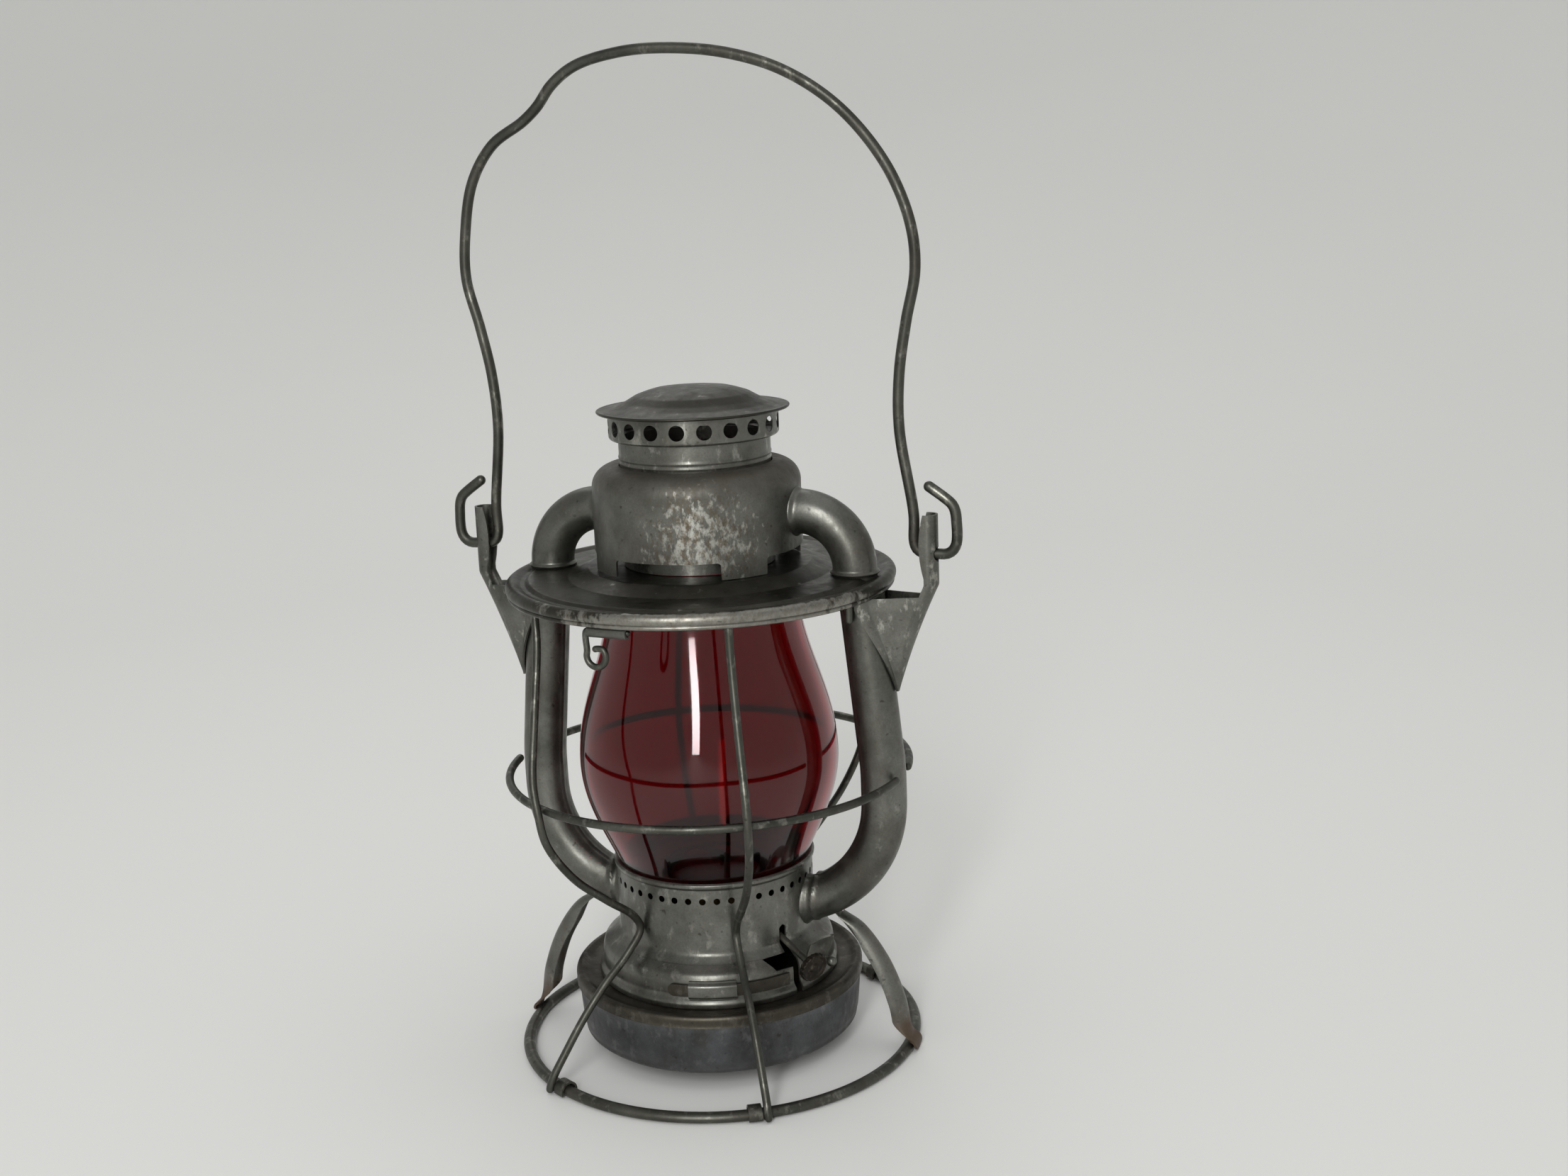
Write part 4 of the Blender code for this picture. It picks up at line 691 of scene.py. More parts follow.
for facing, sign in (("front", 1.0), ("back", -1.0)):
    mirror = np.array([1.0, sign, 1.0])
    line = polar(hoop_turns(GUARD_HOOP_RADIUS, TUBE_SIDE), GUARD_HOOP_RADIUS, guard_level) * mirror
    dress("guard_hoop_" + facing, [wire(line, HOOP_WIRE / 2, (0, 0, 1))], worn_wire)
    line = polar(hoop_turns(TOP_HOOP_RADIUS, TUBE_TOP), TOP_HOOP_RADIUS, top_level) * mirror
    drop = np.linspace(HOOP_TAIL, 0.3 * HOOP_WIRE, 12)[:, None] * np.array([0.0, 0.0, 1.0])
    line = np.concatenate([line[0] - drop, line[2:-2], (line[-1] - drop)[::-1]])
    dress("top_hoop_" + facing, [wire(line, HOOP_WIRE / 2, polar(0.0, 0.2, 1.0) * mirror)], worn_wire)

# %% [markdown]
# ## Strap legs
# Under each side tube a strap runs out to the base ring and curls over it. A press folds it into a half
# round, which makes thin sheet stiff, and leaves it flat where it laps over the ring. Its line is bent
# through knots. Each cross section is half an oval, whose depth grows from the top and is gone at the
# curl.

# %% Strap legs
SIDES = (("left", -1.0), ("right", 1.0))
LEG_WIDTH, LEG_CROWN, LEG_SHEET = 0.0098, 0.0054, 0.0009
LEG_LEAD = 62.0
TUBE_BEND, TUBE_LOW, TUBE_STRAIGHT = 0.0436, 0.0104, 0.0140
tube_bend_height = collar_foot + TUBE_LOW + TUBE_BEND


def strap_leg(side):
    """Across it by t from -90 to 90 degrees, a point lies h sin t aside and sinks by c (1 - cos t)."""
    lead = math.radians(LEG_LEAD)
    reach = TUBE_BEND + TUBE_RADIUS + FIT + LEG_SHEET / 2
    top = np.array([TUBE_SIDE - TUBE_BEND, tube_bend_height])
    top = top + (reach * math.cos(lead), -reach * math.sin(lead))
    curl = arc((ring_radius, ring_level), RING_WIRE / 2 + 3 * FIT + LEG_SHEET / 2, 68.0, -22.0, 4)
    way = (curl[0] - top) * np.array([[0.0, 0.0], [0.30, 0.09], [0.66, 0.36], [0.90, 0.70]]) + top
    line = bent(np.concatenate([way, curl]), 110)
    share = np.linspace(0.0, 1.0, len(line))[:, None]
    ahead = unit(np.gradient(line, axis=0))
    bow = LEG_CROWN * (0.15 + 0.85 * eased_step(share, -0.05, 0.30))
    bow = bow * (1.0 - eased_step(share, 0.78, 0.93))
    tip = np.sqrt(np.clip(1.0 - ((share - 0.955) / 0.048).clip(0.0, None) ** 2, 0.0, 1.0))
    half = LEG_WIDTH / 2 * (0.72 + 0.26 * eased_step(share, 0.0, 0.7)) * tip
    turn = np.radians(np.linspace(-90.0, 90.0, 25))[None, :]
    sink = bow * (1.0 - np.cos(turn))
    x = side * (line[:, :1] + ahead[:, 1:] * sink)
    return np.stack([x, half * np.sin(turn), line[:, 1:] - ahead[:, :1] * sink], axis=-1)


for name, side in SIDES:
    dress("strap_leg_" + name, slab(strap_leg(side), LEG_SHEET), tin_leg)

# %% [markdown]
# ## Side tubes
# Two sheet tubes carry warmed air from the crown down to the burner. Each is rolled from a strip, so a
# seam runs down its inner side as a low ridge. Where a tube meets the collar its points stop at that
# round wall, and a small swell there is the solder. The tube's mouth was beaded before it was soldered
# on, so a second low ring stands a few millimetres out.

# %% Tubes
SEAM_RISE, SEAM_WIDTH, SEAM_TURN = 0.0006, 0.10, 0.6
SOLDER, SOLDER_REACH = 0.0011, 0.0012
MOUTH_BEAD, MOUTH_OUT, MOUTH_REACH = 0.0007, 0.0042, 0.0009
tube_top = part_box("side_tube_left")[1].z
tube_sides = full_turn(72, 2 * np.pi)


def tube_axis(height):
    """The radius of a side tube's axis at a height: upright below, leaning in to the crown above."""
    straight = tube_bend_height + TUBE_STRAIGHT
    share = np.clip((height - straight) / (tube_top - straight), 0.0, 1.0)
    return TUBE_SIDE + (TUBE_TOP - TUBE_SIDE) * share


def stop_at(grid, side, wall):
    """Points nearer the axis than a round wall move out to it along X, so the tube ends on the wall."""
    limit = np.sqrt(np.maximum(wall**2 - grid[..., 1] ** 2, 0.0))
    grid[..., 0] = side * np.maximum(side * grid[..., 0], limit)
    return grid


def joined_tube(line, radius, side, wall, bead):
    """A tube wall along (x, z), swollen by bells of the distance to a round wall, on which it ends."""
    path = np.stack([side * line[:, 0], np.zeros(len(line)), line[:, 1]], axis=1)
    radius = np.broadcast_to(radius, (len(path), len(tube_sides)))
    bare = ringed(path, radius, (0, 1, 0), tube_sides)
    away = np.maximum(np.hypot(bare[..., 0], bare[..., 1]) - wall, 0.0)
    swollen = radius + SOLDER * np.exp(-((away / SOLDER_REACH) ** 2))
    swollen = swollen + bead * np.exp(-(((away - MOUTH_OUT) / MOUTH_REACH) ** 2))
    outer, inner = (ringed(path, swollen - bore, (0, 1, 0), tube_sides) for bore in (0.0, SHEET))
    faces = [stop_at(grid, side, wall - SHEET / 2) for grid in (outer, inner[::-1])]
    return [quads(np.concatenate(faces), round_rows=True, round_columns=True)]


def side_tube(side):
    """Straight down and slightly out, then an arc in to the collar, with a ridge along the seam."""
    straight = tube_bend_height + TUBE_STRAIGHT
    bend = arc((TUBE_SIDE - TUBE_BEND, tube_bend_height), TUBE_BEND, 0.0, -84.0, 60)
    line = even(np.concatenate([[(TUBE_TOP, tube_top), (TUBE_SIDE, straight)], bend]), 150)
    seam = -side * SEAM_TURN * np.pi
    apart = np.angle(np.exp(1j * (tube_sides - seam)))
    radius = TUBE_RADIUS + SEAM_RISE * np.exp(-((apart / SEAM_WIDTH) ** 2))
    return joined_tube(eased(line, 0.012, 0.001), radius, side, COLLAR_RADIUS, MOUTH_BEAD)


for name, side in SIDES:
    dress("side_tube_" + name, side_tube(side), tin_tube)

# %% [markdown]
# ## Elbows
# An elbow leads the air from the hood into each side tube. A tinsmith would bend it from a short pipe,
# solder it to the hood, and let its narrower neck drop into the tube, so that the crown can tilt away. It
# is the same kind of tube along another line, with a bead where it stands on the crown plate.

# %% Elbows
HOOD_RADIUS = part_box("hood")[1].x
ELBOW_RADIUS, ELBOW_BEND, ELBOW_RISE, ELBOW_INSET = 0.0085, 0.0217, 0.0200, 0.0023
FOOT_BEAD, FOOT_BEAD_REACH = 0.0010, 0.0007
NECK_RADIUS, NECK_DEPTH, NECK_TAPER = 0.0068, 0.0060, 0.0020
INSIDE_HOOD = 0.006
elbow_foot = TUBE_TOP - ELBOW_INSET
PLATE_RISE = 0.0035
hood_bottom, hood_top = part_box("hood")[0].z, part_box("hood")[1].z
plate_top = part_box("crown_plate")[1].z - PLATE_RISE


def elbow(side):
    """From the hood's wall over an arc, down to a beaded foot, then a narrower neck out to the tube."""
    level = hood_bottom + ELBOW_RISE
    over = arc((elbow_foot - ELBOW_BEND, level - ELBOW_BEND), ELBOW_BEND, 90.0, 0.0, 60)
    under = plate_top - SHEET - 0.0010
    low = tube_top - NECK_DEPTH
    neck = [(elbow_foot, under), (TUBE_TOP, tube_top), (tube_axis(low), low)]
    line = even(np.concatenate([[(HOOD_RADIUS - INSIDE_HOOD, level)], over, neck]), 260)
    height = line[:, 1]
    past_bend = line[:, 0] > elbow_foot - 1e-6
    seat = plate_top + FIT
    bead = np.exp(-(((height - seat - FOOT_BEAD_REACH) / FOOT_BEAD_REACH) ** 2)) * past_bend
    narrow = np.clip((under - height) / NECK_TAPER, 0.0, 1.0) * past_bend
    radius = ELBOW_RADIUS + FOOT_BEAD * bead + (NECK_RADIUS - ELBOW_RADIUS) * narrow
    return joined_tube(line, radius[:, None], side, HOOD_RADIUS, 0.0)


for name, side in SIDES:
    dress("elbow_" + name, elbow(side), tin_tube)

# %% [markdown]
# ## Bail ears
# Each ear is one pressing. Below, a saddle hugs the side tube, with a straight top edge and a point at
# its foot. Above, the sheet folds into a gutter that opens inwards for the bail's leg. Both are one
# surface of two values: s round the sheet and the height z. The saddle's wings stop at its shoulder, and
# the gutter goes on up. A punched hole in the gutter's bottom takes the bail's end, so a rod is cut from
# the sheet.

# %% Bail ears
PIVOT_RISE = 0.0085
BAIL_WIRE = 0.0042
BAIL_LEG = 0.0855
RUN = 0.0004
EAR_SPAN, EAR_DEPTH, EAR_BULGE = 95.0, 0.0062, 0.0016
GUTTER_ROOM, SADDLE_ROOM = 0.0016, 0.0002
SHOULDER_DROP, KNEE_DROP = 0.0015, 0.0030
WING, WING_END = 0.50, 0.667
ROD_SPAN = (0.002, 0.010)
pivot_height = plate_top + PIVOT_RISE
ear_low, ear_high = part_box("bail_ear_right")
ear_shoulder = tube_top - SHOULDER_DROP
ear_knee = plate_top - KNEE_DROP
ear_edge = BAIL_LEG + BAIL_WIRE / 2 + RUN


def ear_surface(s, z, side):
    """A saddle at the angle s wrap round the tube, drawn out by lean(z) into a U that opens inwards."""
    share = np.abs(s)
    half, web = BAIL_WIRE / 2 + GUTTER_ROOM, ear_edge + EAR_DEPTH
    tip, top = ear_low.z, ear_high.z
    hug = TUBE_RADIUS + RUN + SHEET / 2 + SADDLE_ROOM
    opened = np.minimum(0.08 + 1.05 * (z - tip) / (ear_shoulder - tip), 1.0)
    wrap = math.radians(EAR_SPAN) * opened
    x, y = tube_axis(z) + hug * np.cos(share * wrap), hug * np.sin(share * wrap)
    corner = np.minimum(3.0 * share, 1.0) * np.pi / 2
    lip = np.clip((share - 1 / 3) * 6.0, 0.0, 1.0)
    middle = pivot_height + 0.003
    flare = EAR_BULGE * np.clip((z - middle) / (top - middle), -1.0, 1.0) ** 2
    gutter_x = web - half + half * np.cos(corner) + lip * (ear_edge + flare - web + half)
    gutter_y = half * np.sin(corner)
    lean = np.clip((z - tip) / (ear_knee - tip), 0.0, 1.0) * (1.0 - eased_step(share, WING, WING_END))
    x, y = x + lean * (gutter_x - x), y + lean * (gutter_y - y)
    return np.stack(np.broadcast_arrays(side * x, np.sign(s) * y, z), axis=-1)


def ear_faces(s, z, side):
    """Both faces of the pressing: half the sheet to either side, along the surface's normal."""
    slight, little = 0.002, 0.00002
    along_s = ear_surface(s + slight, z, side) - ear_surface(s - slight, z, side)
    along_z = ear_surface(s, z + little, side) - ear_surface(s, z - little, side)
    middle, lift = ear_surface(s, z, side), unit(np.cross(along_z, along_s)) * SHEET / 2
    return np.stack([middle + lift, middle - lift])


def bail_ear(side):
    """A saddle, and a gutter on its middle columns; the cut edge joins the two faces all round."""
    wing, inside = np.linspace(WING, 1.0, 31), np.linspace(-WING, WING, 61)
    s = np.concatenate([-wing[:0:-1], inside, wing[1:]])[None, :]
    saddle = ear_faces(s, np.linspace(ear_low.z, ear_shoulder, 60)[:, None], side)
    gutter = ear_faces(inside[None, :], np.linspace(ear_shoulder, ear_high.z, 50)[:, None], side)
    edges = [saddle[:, 0], saddle[:, :, 0], saddle[:, :, -1], saddle[:, -1, :31], saddle[:, -1, -31:]]
    edges += [gutter[:, -1], gutter[:, :, 0], gutter[:, :, -1]]
    return [quads(grid) for grid in (*saddle, *gutter, *edges)]


def pierce(piece, start, end, radius):
    """Cuts a round hole through a piece with a rod from start to end."""
    path = np.linspace(start, end, 9)
    rim = np.concatenate([[0.0], np.full(7, radius), [0.0]])[:, None]
    rod = quads(ringed(path, rim, (0, 0, 1), tube_sides), round_columns=True)
    cutter = placed("rod", welded("rod", [rod]))
    hole = piece.modifiers.new("hole", "BOOLEAN")
    hole.object, hole.solver = cutter, "EXACT"
    bpy.context.view_layer.update()
    cut = bpy.data.meshes.new_from_object(piece.evaluated_get(bpy.context.evaluated_depsgraph_get()))
    piece.modifiers.clear()
    bpy.data.objects.remove(cutter)
    bm = bmesh.new()
    bm.from_mesh(cut)
    bmesh.ops.remove_doubles(bm, verts=bm.verts, dist=WELD)
    bmesh.ops.dissolve_degenerate(bm, edges=bm.edges, dist=WELD)
    bm.to_mesh(cut)
    bm.free()
    piece.data = cut
    print(piece.name, "pierced,", len(cut.polygons), "faces")


for name, side in SIDES:
    ear = dress("bail_ear_" + name, bail_ear(side), tin_ear)
    level, out = np.array([0.0, 0.0, pivot_height]), np.array([side, 0.0, 0.0])
    start, end = (level + out * (ear_edge + reach) for reach in ROD_SPAN)
    pierce(ear, start, end, BAIL_WIRE / 2 + 2 * RUN)

# %% [markdown]
# ## The bail
# The bail is one long wire. It hooks through each ear, rises, flares out and arches over, with a kink on
# its left where it rests on a hook. The knots come from the same heights and widths as the solid's.

# %% Bail
BAIL_HEIGHT, BAIL_WAIST, BAIL_BELLY, BAIL_LEAN = 0.1870, 0.0815, 0.0897, -0.0028
BAIL_HOOK, BAIL_CROOK, BAIL_EASE = 0.1023, 0.0265, 0.00005


def bail_line():
    """Knots (x, z) of the right end, the flare and the arch, then the kink and the left end."""
    crook = [(0.26, 1.0), (0.50, 0.895), (0.74, 0.785), (0.88, 0.705), (0.945, 0.60), (0.965, 0.45)]
    crook += [(0.975, 0.28), (0.95, 0.14), (0.86, 0.045), (0.72, 0.0), (0.58, 0.0), (0.43, 0.0)]
    right = np.array(crook) * (BAIL_HOOK - BAIL_LEG, BAIL_CROOK) + (BAIL_LEG, 0.0)
    leg = np.array([(1.0, 0.0), (0.3, 0.3), (0.0, 1.0)]) * BAIL_WIRE + (BAIL_LEG, 0.0)
    right = np.concatenate([right, leg, [(BAIL_LEG, 0.08 * BAIL_HEIGHT)]])
    middle = 0.5 * (BAIL_WAIST + BAIL_BELLY)
    flare = [(BAIL_WAIST, 0.25), (1.01 * BAIL_WAIST, 0.36), (middle, 0.46), (BAIL_BELLY, 0.56)]
    flare = np.array(flare + [(0.987 * BAIL_BELLY, 0.65)])
    arch = [(0.905, 0.76), (0.72, 0.87), (0.49, 0.945), (0.24, 0.985), (-0.02, 1.0), (-0.22, 0.997)]
    kink = [(-0.42, 0.975), (-0.53, 0.940), (-0.60, 0.900), (-0.67, 0.872), (-0.82, 0.828)]
    kink += [(-0.925, 0.755)]
    lean = BAIL_LEAN * flare[:, 1:]
    out = np.concatenate([flare[:, :1] + lean, flare[:, 1:] * BAIL_HEIGHT], axis=1)
    back = np.concatenate([lean - flare[:, :1], flare[:, 1:] * BAIL_HEIGHT], axis=1)[::-1]
    crest = np.array(arch + kink) * (BAIL_BELLY, BAIL_HEIGHT) + (BAIL_LEAN, 0.0)
    knots = np.concatenate([right, out, crest, back, (right * (-1.0, 1.0))[::-1]])
    line = bent(knots, 420)
    return np.stack([line[:, 0], np.zeros(len(line)), pivot_height + line[:, 1]], axis=1)


dress("bail", [wire(bail_line(), BAIL_WIRE / 2 - BAIL_EASE, (0, 1, 0), 20)], worn_wire)

# %% [markdown]
# ## Rows of round holes
# The collar and the vent ring are pierced by a row of holes, which a press punches in the flat strip
# before it is rolled up. A round hole in a sheet is a square cell with a circle cut from it: lines run
# from the cell's edge in to the circle. Cells side by side share their edges, so they weld into one band,
# and a short wall joins its two faces inside each hole.

# %% Bands of holes
CELL_SHARE = np.array([1.0, 0.6, 0.3, 0.12, 0.0])
HOLE_RIM = 0.4


def cell(half_width, half_height, hole, per_side):
    """Rows from a box (share 1) in to a circle (share 0), as (across, up), with columns round it."""
    step, one = np.linspace(-1.0, 1.0, per_side, endpoint=False), np.ones(per_side)
    across = half_width * np.concatenate([step, one, -step, -one])
    up = half_height * np.concatenate([-one, step, one, -step])
    edge = np.stack([across, up], axis=1)
    rim = hole * unit(edge)
    return rim + CELL_SHARE[:, None, None] * (edge - rim)


def pierced_band(radius, level, half_height, hole, count, first, per_side):
    """A cell bent round the axis for each hole, at angle = its own + across / radius; thin at the rims."""
    flat = cell(np.pi * radius / count, half_height, hole, per_side)
    centres = first + full_turn(count)
    angle = centres[:, None, None] + np.degrees(flat[..., 0] / radius)
    height = np.broadcast_to(level + flat[..., 1], angle.shape)
    thin = SHEET * (HOLE_RIM + (1.0 - HOLE_RIM) * CELL_SHARE)[:, None]
    outer, inner = polar(angle, radius, height), polar(angle, radius - thin, height)
    both = np.concatenate([outer, inner[:, ::-1]], axis=1)
    return [quads(one, round_columns=True) for one in both]


# %% [markdown]
# ## The collar
# The collar carries the globe and the tubes and drops over the fount. It has a rolled rim, a row of air
# holes, a straight wall and a flared skirt. A slot lets the wick shaft in from below, with a side window
# at its foot. The slot is where the turned surface begins and ends: its columns stop short of a full turn
# by the slot's width at each height, and close to nothing above the slot's round head.

# %% Collar
HOLES, HOLE_RADIUS, HOLE_DROP, HOLE_BAND = 44, 0.0013, 0.0075, 0.0024
CELL_STEPS = 6
COLLAR_COLUMNS = HOLES * CELL_STEPS
SLOT_HALF, SLOT_HEAD, SLOT_COLUMN = 0.0017, 0.0546, 22
SKIRT_BEAD = 0.0018
WINDOW = (0.0415, 0.0462, 0.0125, 0.0034)
collar_low, collar_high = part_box("collar")
collar_top, skirt_bottom = collar_high.z, collar_low.z
skirt_out = collar_high.x
skirt_radius = skirt_out - SKIRT_BEAD
slot_angle = 90.0 - SLOT_COLUMN * 360.0 / COLLAR_COLUMNS


def slot_sides(height):
    """Half widths of the slot to its left and right: straight, round at the head, wider at the window."""
    head = np.sqrt(np.clip(1.0 - ((height - SLOT_HEAD) / SLOT_HALF) ** 2, 0.0, 1.0))
    right = SLOT_HALF * np.where(height < SLOT_HEAD, 1.0, head)
    low, high, reach, slant = WINDOW
    wide = reach - slant * (high - height) / (high - low)
    left = np.where((height > low) & (height < high), wide, right)
    return left, right


def slotted(section, columns):
    """A section turned from the slot's right side to its left: a0 + right + u (360 - right - left)."""
    radius, height = section[:, :1], section[:, 1:]
    left, right = (np.degrees(half / radius) for half in slot_sides(height))
    share = np.linspace(0.0, 1.0, columns + 1)[None, :]
    angle = slot_angle + right + share * (360.0 - right - left)
    return polar(angle, radius, height)


def collar():
    """Rim above the holes, the pierced band, and the slotted wall and skirt below it."""
    level = collar_top - HOLE_DROP
    band_low, band_high = level - HOLE_BAND, level + HOLE_BAND
    wall = COLLAR_RADIUS
    rim = [(wall + 0.0002, collar_top - 0.0002), (wall + 0.0010, collar_top - 0.0008)]
    rim += [(wall + 0.0009, collar_top - 0.0020), (wall, collar_top - 0.0030), (wall, band_high)]
    rim = eased(rim, 0.0010, 0.0002)[::-1]
    rim = np.concatenate([rim, [(wall - SHEET, collar_top - 0.0004), (wall - SHEET, band_high)]])
    top = turned(rim, COLLAR_COLUMNS, first=slot_angle, closed=False)
    down = [(wall, band_low), (wall, band_low - 0.0030), (wall, collar_foot + 0.0012)]
    down += [(wall + 0.0026, collar_foot - 0.0016), (skirt_radius - 0.0008, collar_foot - 0.0046)]
    down += [(skirt_radius, skirt_bottom + 0.0098), (skirt_radius, skirt_bottom + 0.0042)]
    down += [(skirt_out - 0.0002, skirt_bottom + 0.0024), (skirt_out, skirt_bottom + 0.0010)]
    down += [(skirt_out - 0.0004, skirt_bottom)]
    outer = eased(down, 0.0030, 0.0003)
    loop = slotted(walled(outer), COLLAR_COLUMNS)
    count = len(outer)
    first = np.argmax(outer[:, 1] < SLOT_HEAD + SLOT_HALF) - 1
    sides = [np.stack([loop[:count, k], loop[: count - 1 : -1, k]], axis=1)[first:] for k in (0, -1)]
    first_hole = 90.0 + 180.0 / HOLES
    bands = pierced_band(wall, level, HOLE_BAND, HOLE_RADIUS, HOLES, first_hole, CELL_STEPS)
    return [top, quads(loop)] + bands + [quads(grid) for grid in sides]


dress("collar", collar(), tin_collar)

# %% [markdown]
# ## The globe's seat and the fount's latch
# Inside the collar a flat ring carries the globe. Outside, a strip slides round the skirt under a bridge
# and holds the fount from dropping; a leaf and a pin beside the knob stop it. The strip, the bridge and
# the leaf are cut from sheet and bent by hand, so each is a thin grid given a thickness. The ring is a
# turned section, and the pin is rings of points along a line.

# %% Globe plate and fount latch
GLOBE_PLATE_HOLE, GLOBE_PLATE_FLANGE = 0.0220, 0.0012
STRIP_SHEET = 0.0009
STRIP_START, STRIP_ROUND, STRIP_END = -5.0, -2.0, 54.5
BRIDGE_START, BRIDGE_END = 5.5, 27.5
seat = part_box("globe_plate")
plate_line = [(GLOBE_PLATE_HOLE, seat[1].z), (seat[1].x, seat[1].z)]
plate_line = eased(plate_line + [(seat[1].x, seat[1].z - GLOBE_PLATE_FLANGE)], 0.0010)
dress("globe_plate", [turned(walled(plate_line), 96)], tin_collar)
strip_low, strip_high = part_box("latch_strip")[0].z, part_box("latch_strip")[1].z
strip_radius = skirt_radius + FIT + STRIP_SHEET / 2


def latch_strip():
    """A strip round the skirt whose left end is rounded: its half width falls as a quarter round."""
    straight = np.linspace(STRIP_ROUND + 0.5, STRIP_END, 60)
    angle = np.concatenate([np.linspace(STRIP_START, STRIP_ROUND, 12), straight])
    half = (strip_high - strip_low) / 2
    round_off = np.sqrt(np.clip(1.0 - ((STRIP_ROUND - angle) / 3.1) ** 2, 0.02, 1.0))
    width = np.where(angle < STRIP_ROUND, round_off, 1.0)
    across = np.linspace(-1.0, 1.0, 9)
    height = (strip_low + strip_high) / 2 + half * width[:, None] * across
    return polar(angle[:, None], strip_radius, height)


def latch_bridge():
    """A hump over the strip between two feet, carried round the skirt."""
    foot = skirt_radius + FIT + SHEET / 2
    hump = strip_radius + STRIP_SHEET / 2 + 2 * FIT + SHEET / 2
    low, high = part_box("latch_bridge")[0].z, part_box("latch_bridge")[1].z
    rise = np.linspace(0.0, 1.0, 40)
    up = eased_step(rise, 0.06, 0.24) * (1.0 - eased_step(rise, 0.76, 0.94))
    angle = np.linspace(BRIDGE_START, BRIDGE_END, 40)[:, None]
    return polar(angle, foot + (hump - foot) * up, low + (high - low) * rise)


def latch_tab():
    """A leaf that leaves the skirt and twists out to the right as it rises to a point."""
    start, end, out, tall = 66.0, 72.5, 0.0094, 0.0174
    rise = np.linspace(0.10, 1.0, 36)[:, None]
    steps = (0.10, 0.30, 0.54, 0.76, 0.92, 1.00)
    left = np.interp(rise, steps, (0.0, 0.0, 0.04, 0.20, 0.56, 0.84))
    left_out = np.interp(rise, steps, (0.0, 0.0, 0.02, 0.14, 0.52, 0.90))
    right_out = np.interp(rise, steps, (0.0, 0.26, 0.62, 0.86, 0.97, 1.00))
    share = np.linspace(0.0, 1.0, 14)[None, :]
    angle = start + (end - start) * (left + (1.0 - left) * share)
    radius = skirt_radius + FIT + SHEET / 2 + out * (left_out + (right_out - left_out) * share**1.5)
    return polar(angle, radius, strip_low + tall * rise)


def stud():
    """A pin out of the skirt with a ball on its end: a ring's radius follows the distance along it."""
    angle, length, pin = 75.0, 0.0060, 0.0013
    ball, middle = 1.6 * pin, length + pin / 2
    over_ball = middle - ball * np.cos(np.linspace(0.9, np.pi, 24))
    along = np.concatenate([np.linspace(0.0, length - 0.0012, 10), over_ball])
    round_part = np.sqrt(np.clip(ball**2 - (along - middle) ** 2, 0.0, None))
    radius = np.where(along < middle, np.maximum(round_part, pin), round_part)
    radius[0] = 0.0
    path = polar(angle, skirt_radius + FIT + along, strip_high)
    ring = full_turn(24, 2 * np.pi)
    return [quads(ringed(path, radius[:, None], (0, 0, 1), ring), round_columns=True)]


dress("latch_strip", slab(latch_strip(), STRIP_SHEET), grimy_tin)
dress("latch_bridge", slab(latch_bridge()), tin_collar)
dress("latch_tab", slab(latch_tab()), tin_collar)
dress("latch_stop", stud(), tin_collar)

# %% [markdown]
# ## The globe
# The globe is blown glass: a full belly low down, a longer taper above, and ground rims. Its outline is
# a power of a sine below the belly and a power of a parabola above it. The glass has real thickness, so
# that light bends at both faces.

# %% Globe
globe_low, globe_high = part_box("globe")
GLASS = 0.0030
GLOBE_FOOT, GLOBE_MOUTH, BELLY_SHARE = 0.0366, 0.0374, 0.40
GLOBE_BELLY, GLOBE_SWELL, GLOBE_TAPER = 0.0510, 1.2, 2.5


def globe_outline():
    """foot + a sin(90 h) ** swell up to the belly, then mouth + b (1 - f squared) ** taper."""
    share = np.linspace(1.0, 0.0, 130)
    rise = np.clip(share / BELLY_SHARE, 0.0, 1.0)
    fall = np.clip((share - BELLY_SHARE) / (1.0 - BELLY_SHARE), 0.0, 1.0)
    below = GLOBE_FOOT + (GLOBE_BELLY - GLOBE_FOOT) * np.sin(np.pi / 2 * rise) ** GLOBE_SWELL
    above = GLOBE_MOUTH + (GLOBE_BELLY - GLOBE_MOUTH) * (1.0 - fall**2) ** GLOBE_TAPER
    height = globe_low.z + share * (globe_high.z - globe_low.z)
    return np.stack([np.where(share < BELLY_SHARE, below, above), height], axis=1)


dress("globe", [turned(walled(globe_outline(), GLASS), 160, 0.0003, 1.0)], ruby)

# %% [markdown]
# ## The crown
# The crown is spun sheet: a wide plate with a rolled rim, a chimney with a beaded neck, and a low cap
# with a thin brim, besides the hood and the vent ring below. Spinning presses a turning disc of sheet
# over a wooden form, so each of these is a section turned round the axis.

# %% Plate, chimney and cap
CHIMNEY_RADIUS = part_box("chimney")[1].x
chimney_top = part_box("chimney")[1].z
vent_low, vent_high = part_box("vent_ring")
cap_low, cap_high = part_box("dome_cap")
plate_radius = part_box("crown_plate")[1].y
RIM_BEAD = 0.0026
PLATE_HOLE = 0.0280
NECK_BEAD, NECK_BEAD_REACH = 0.00025, 0.0006
BRIM = 0.0006


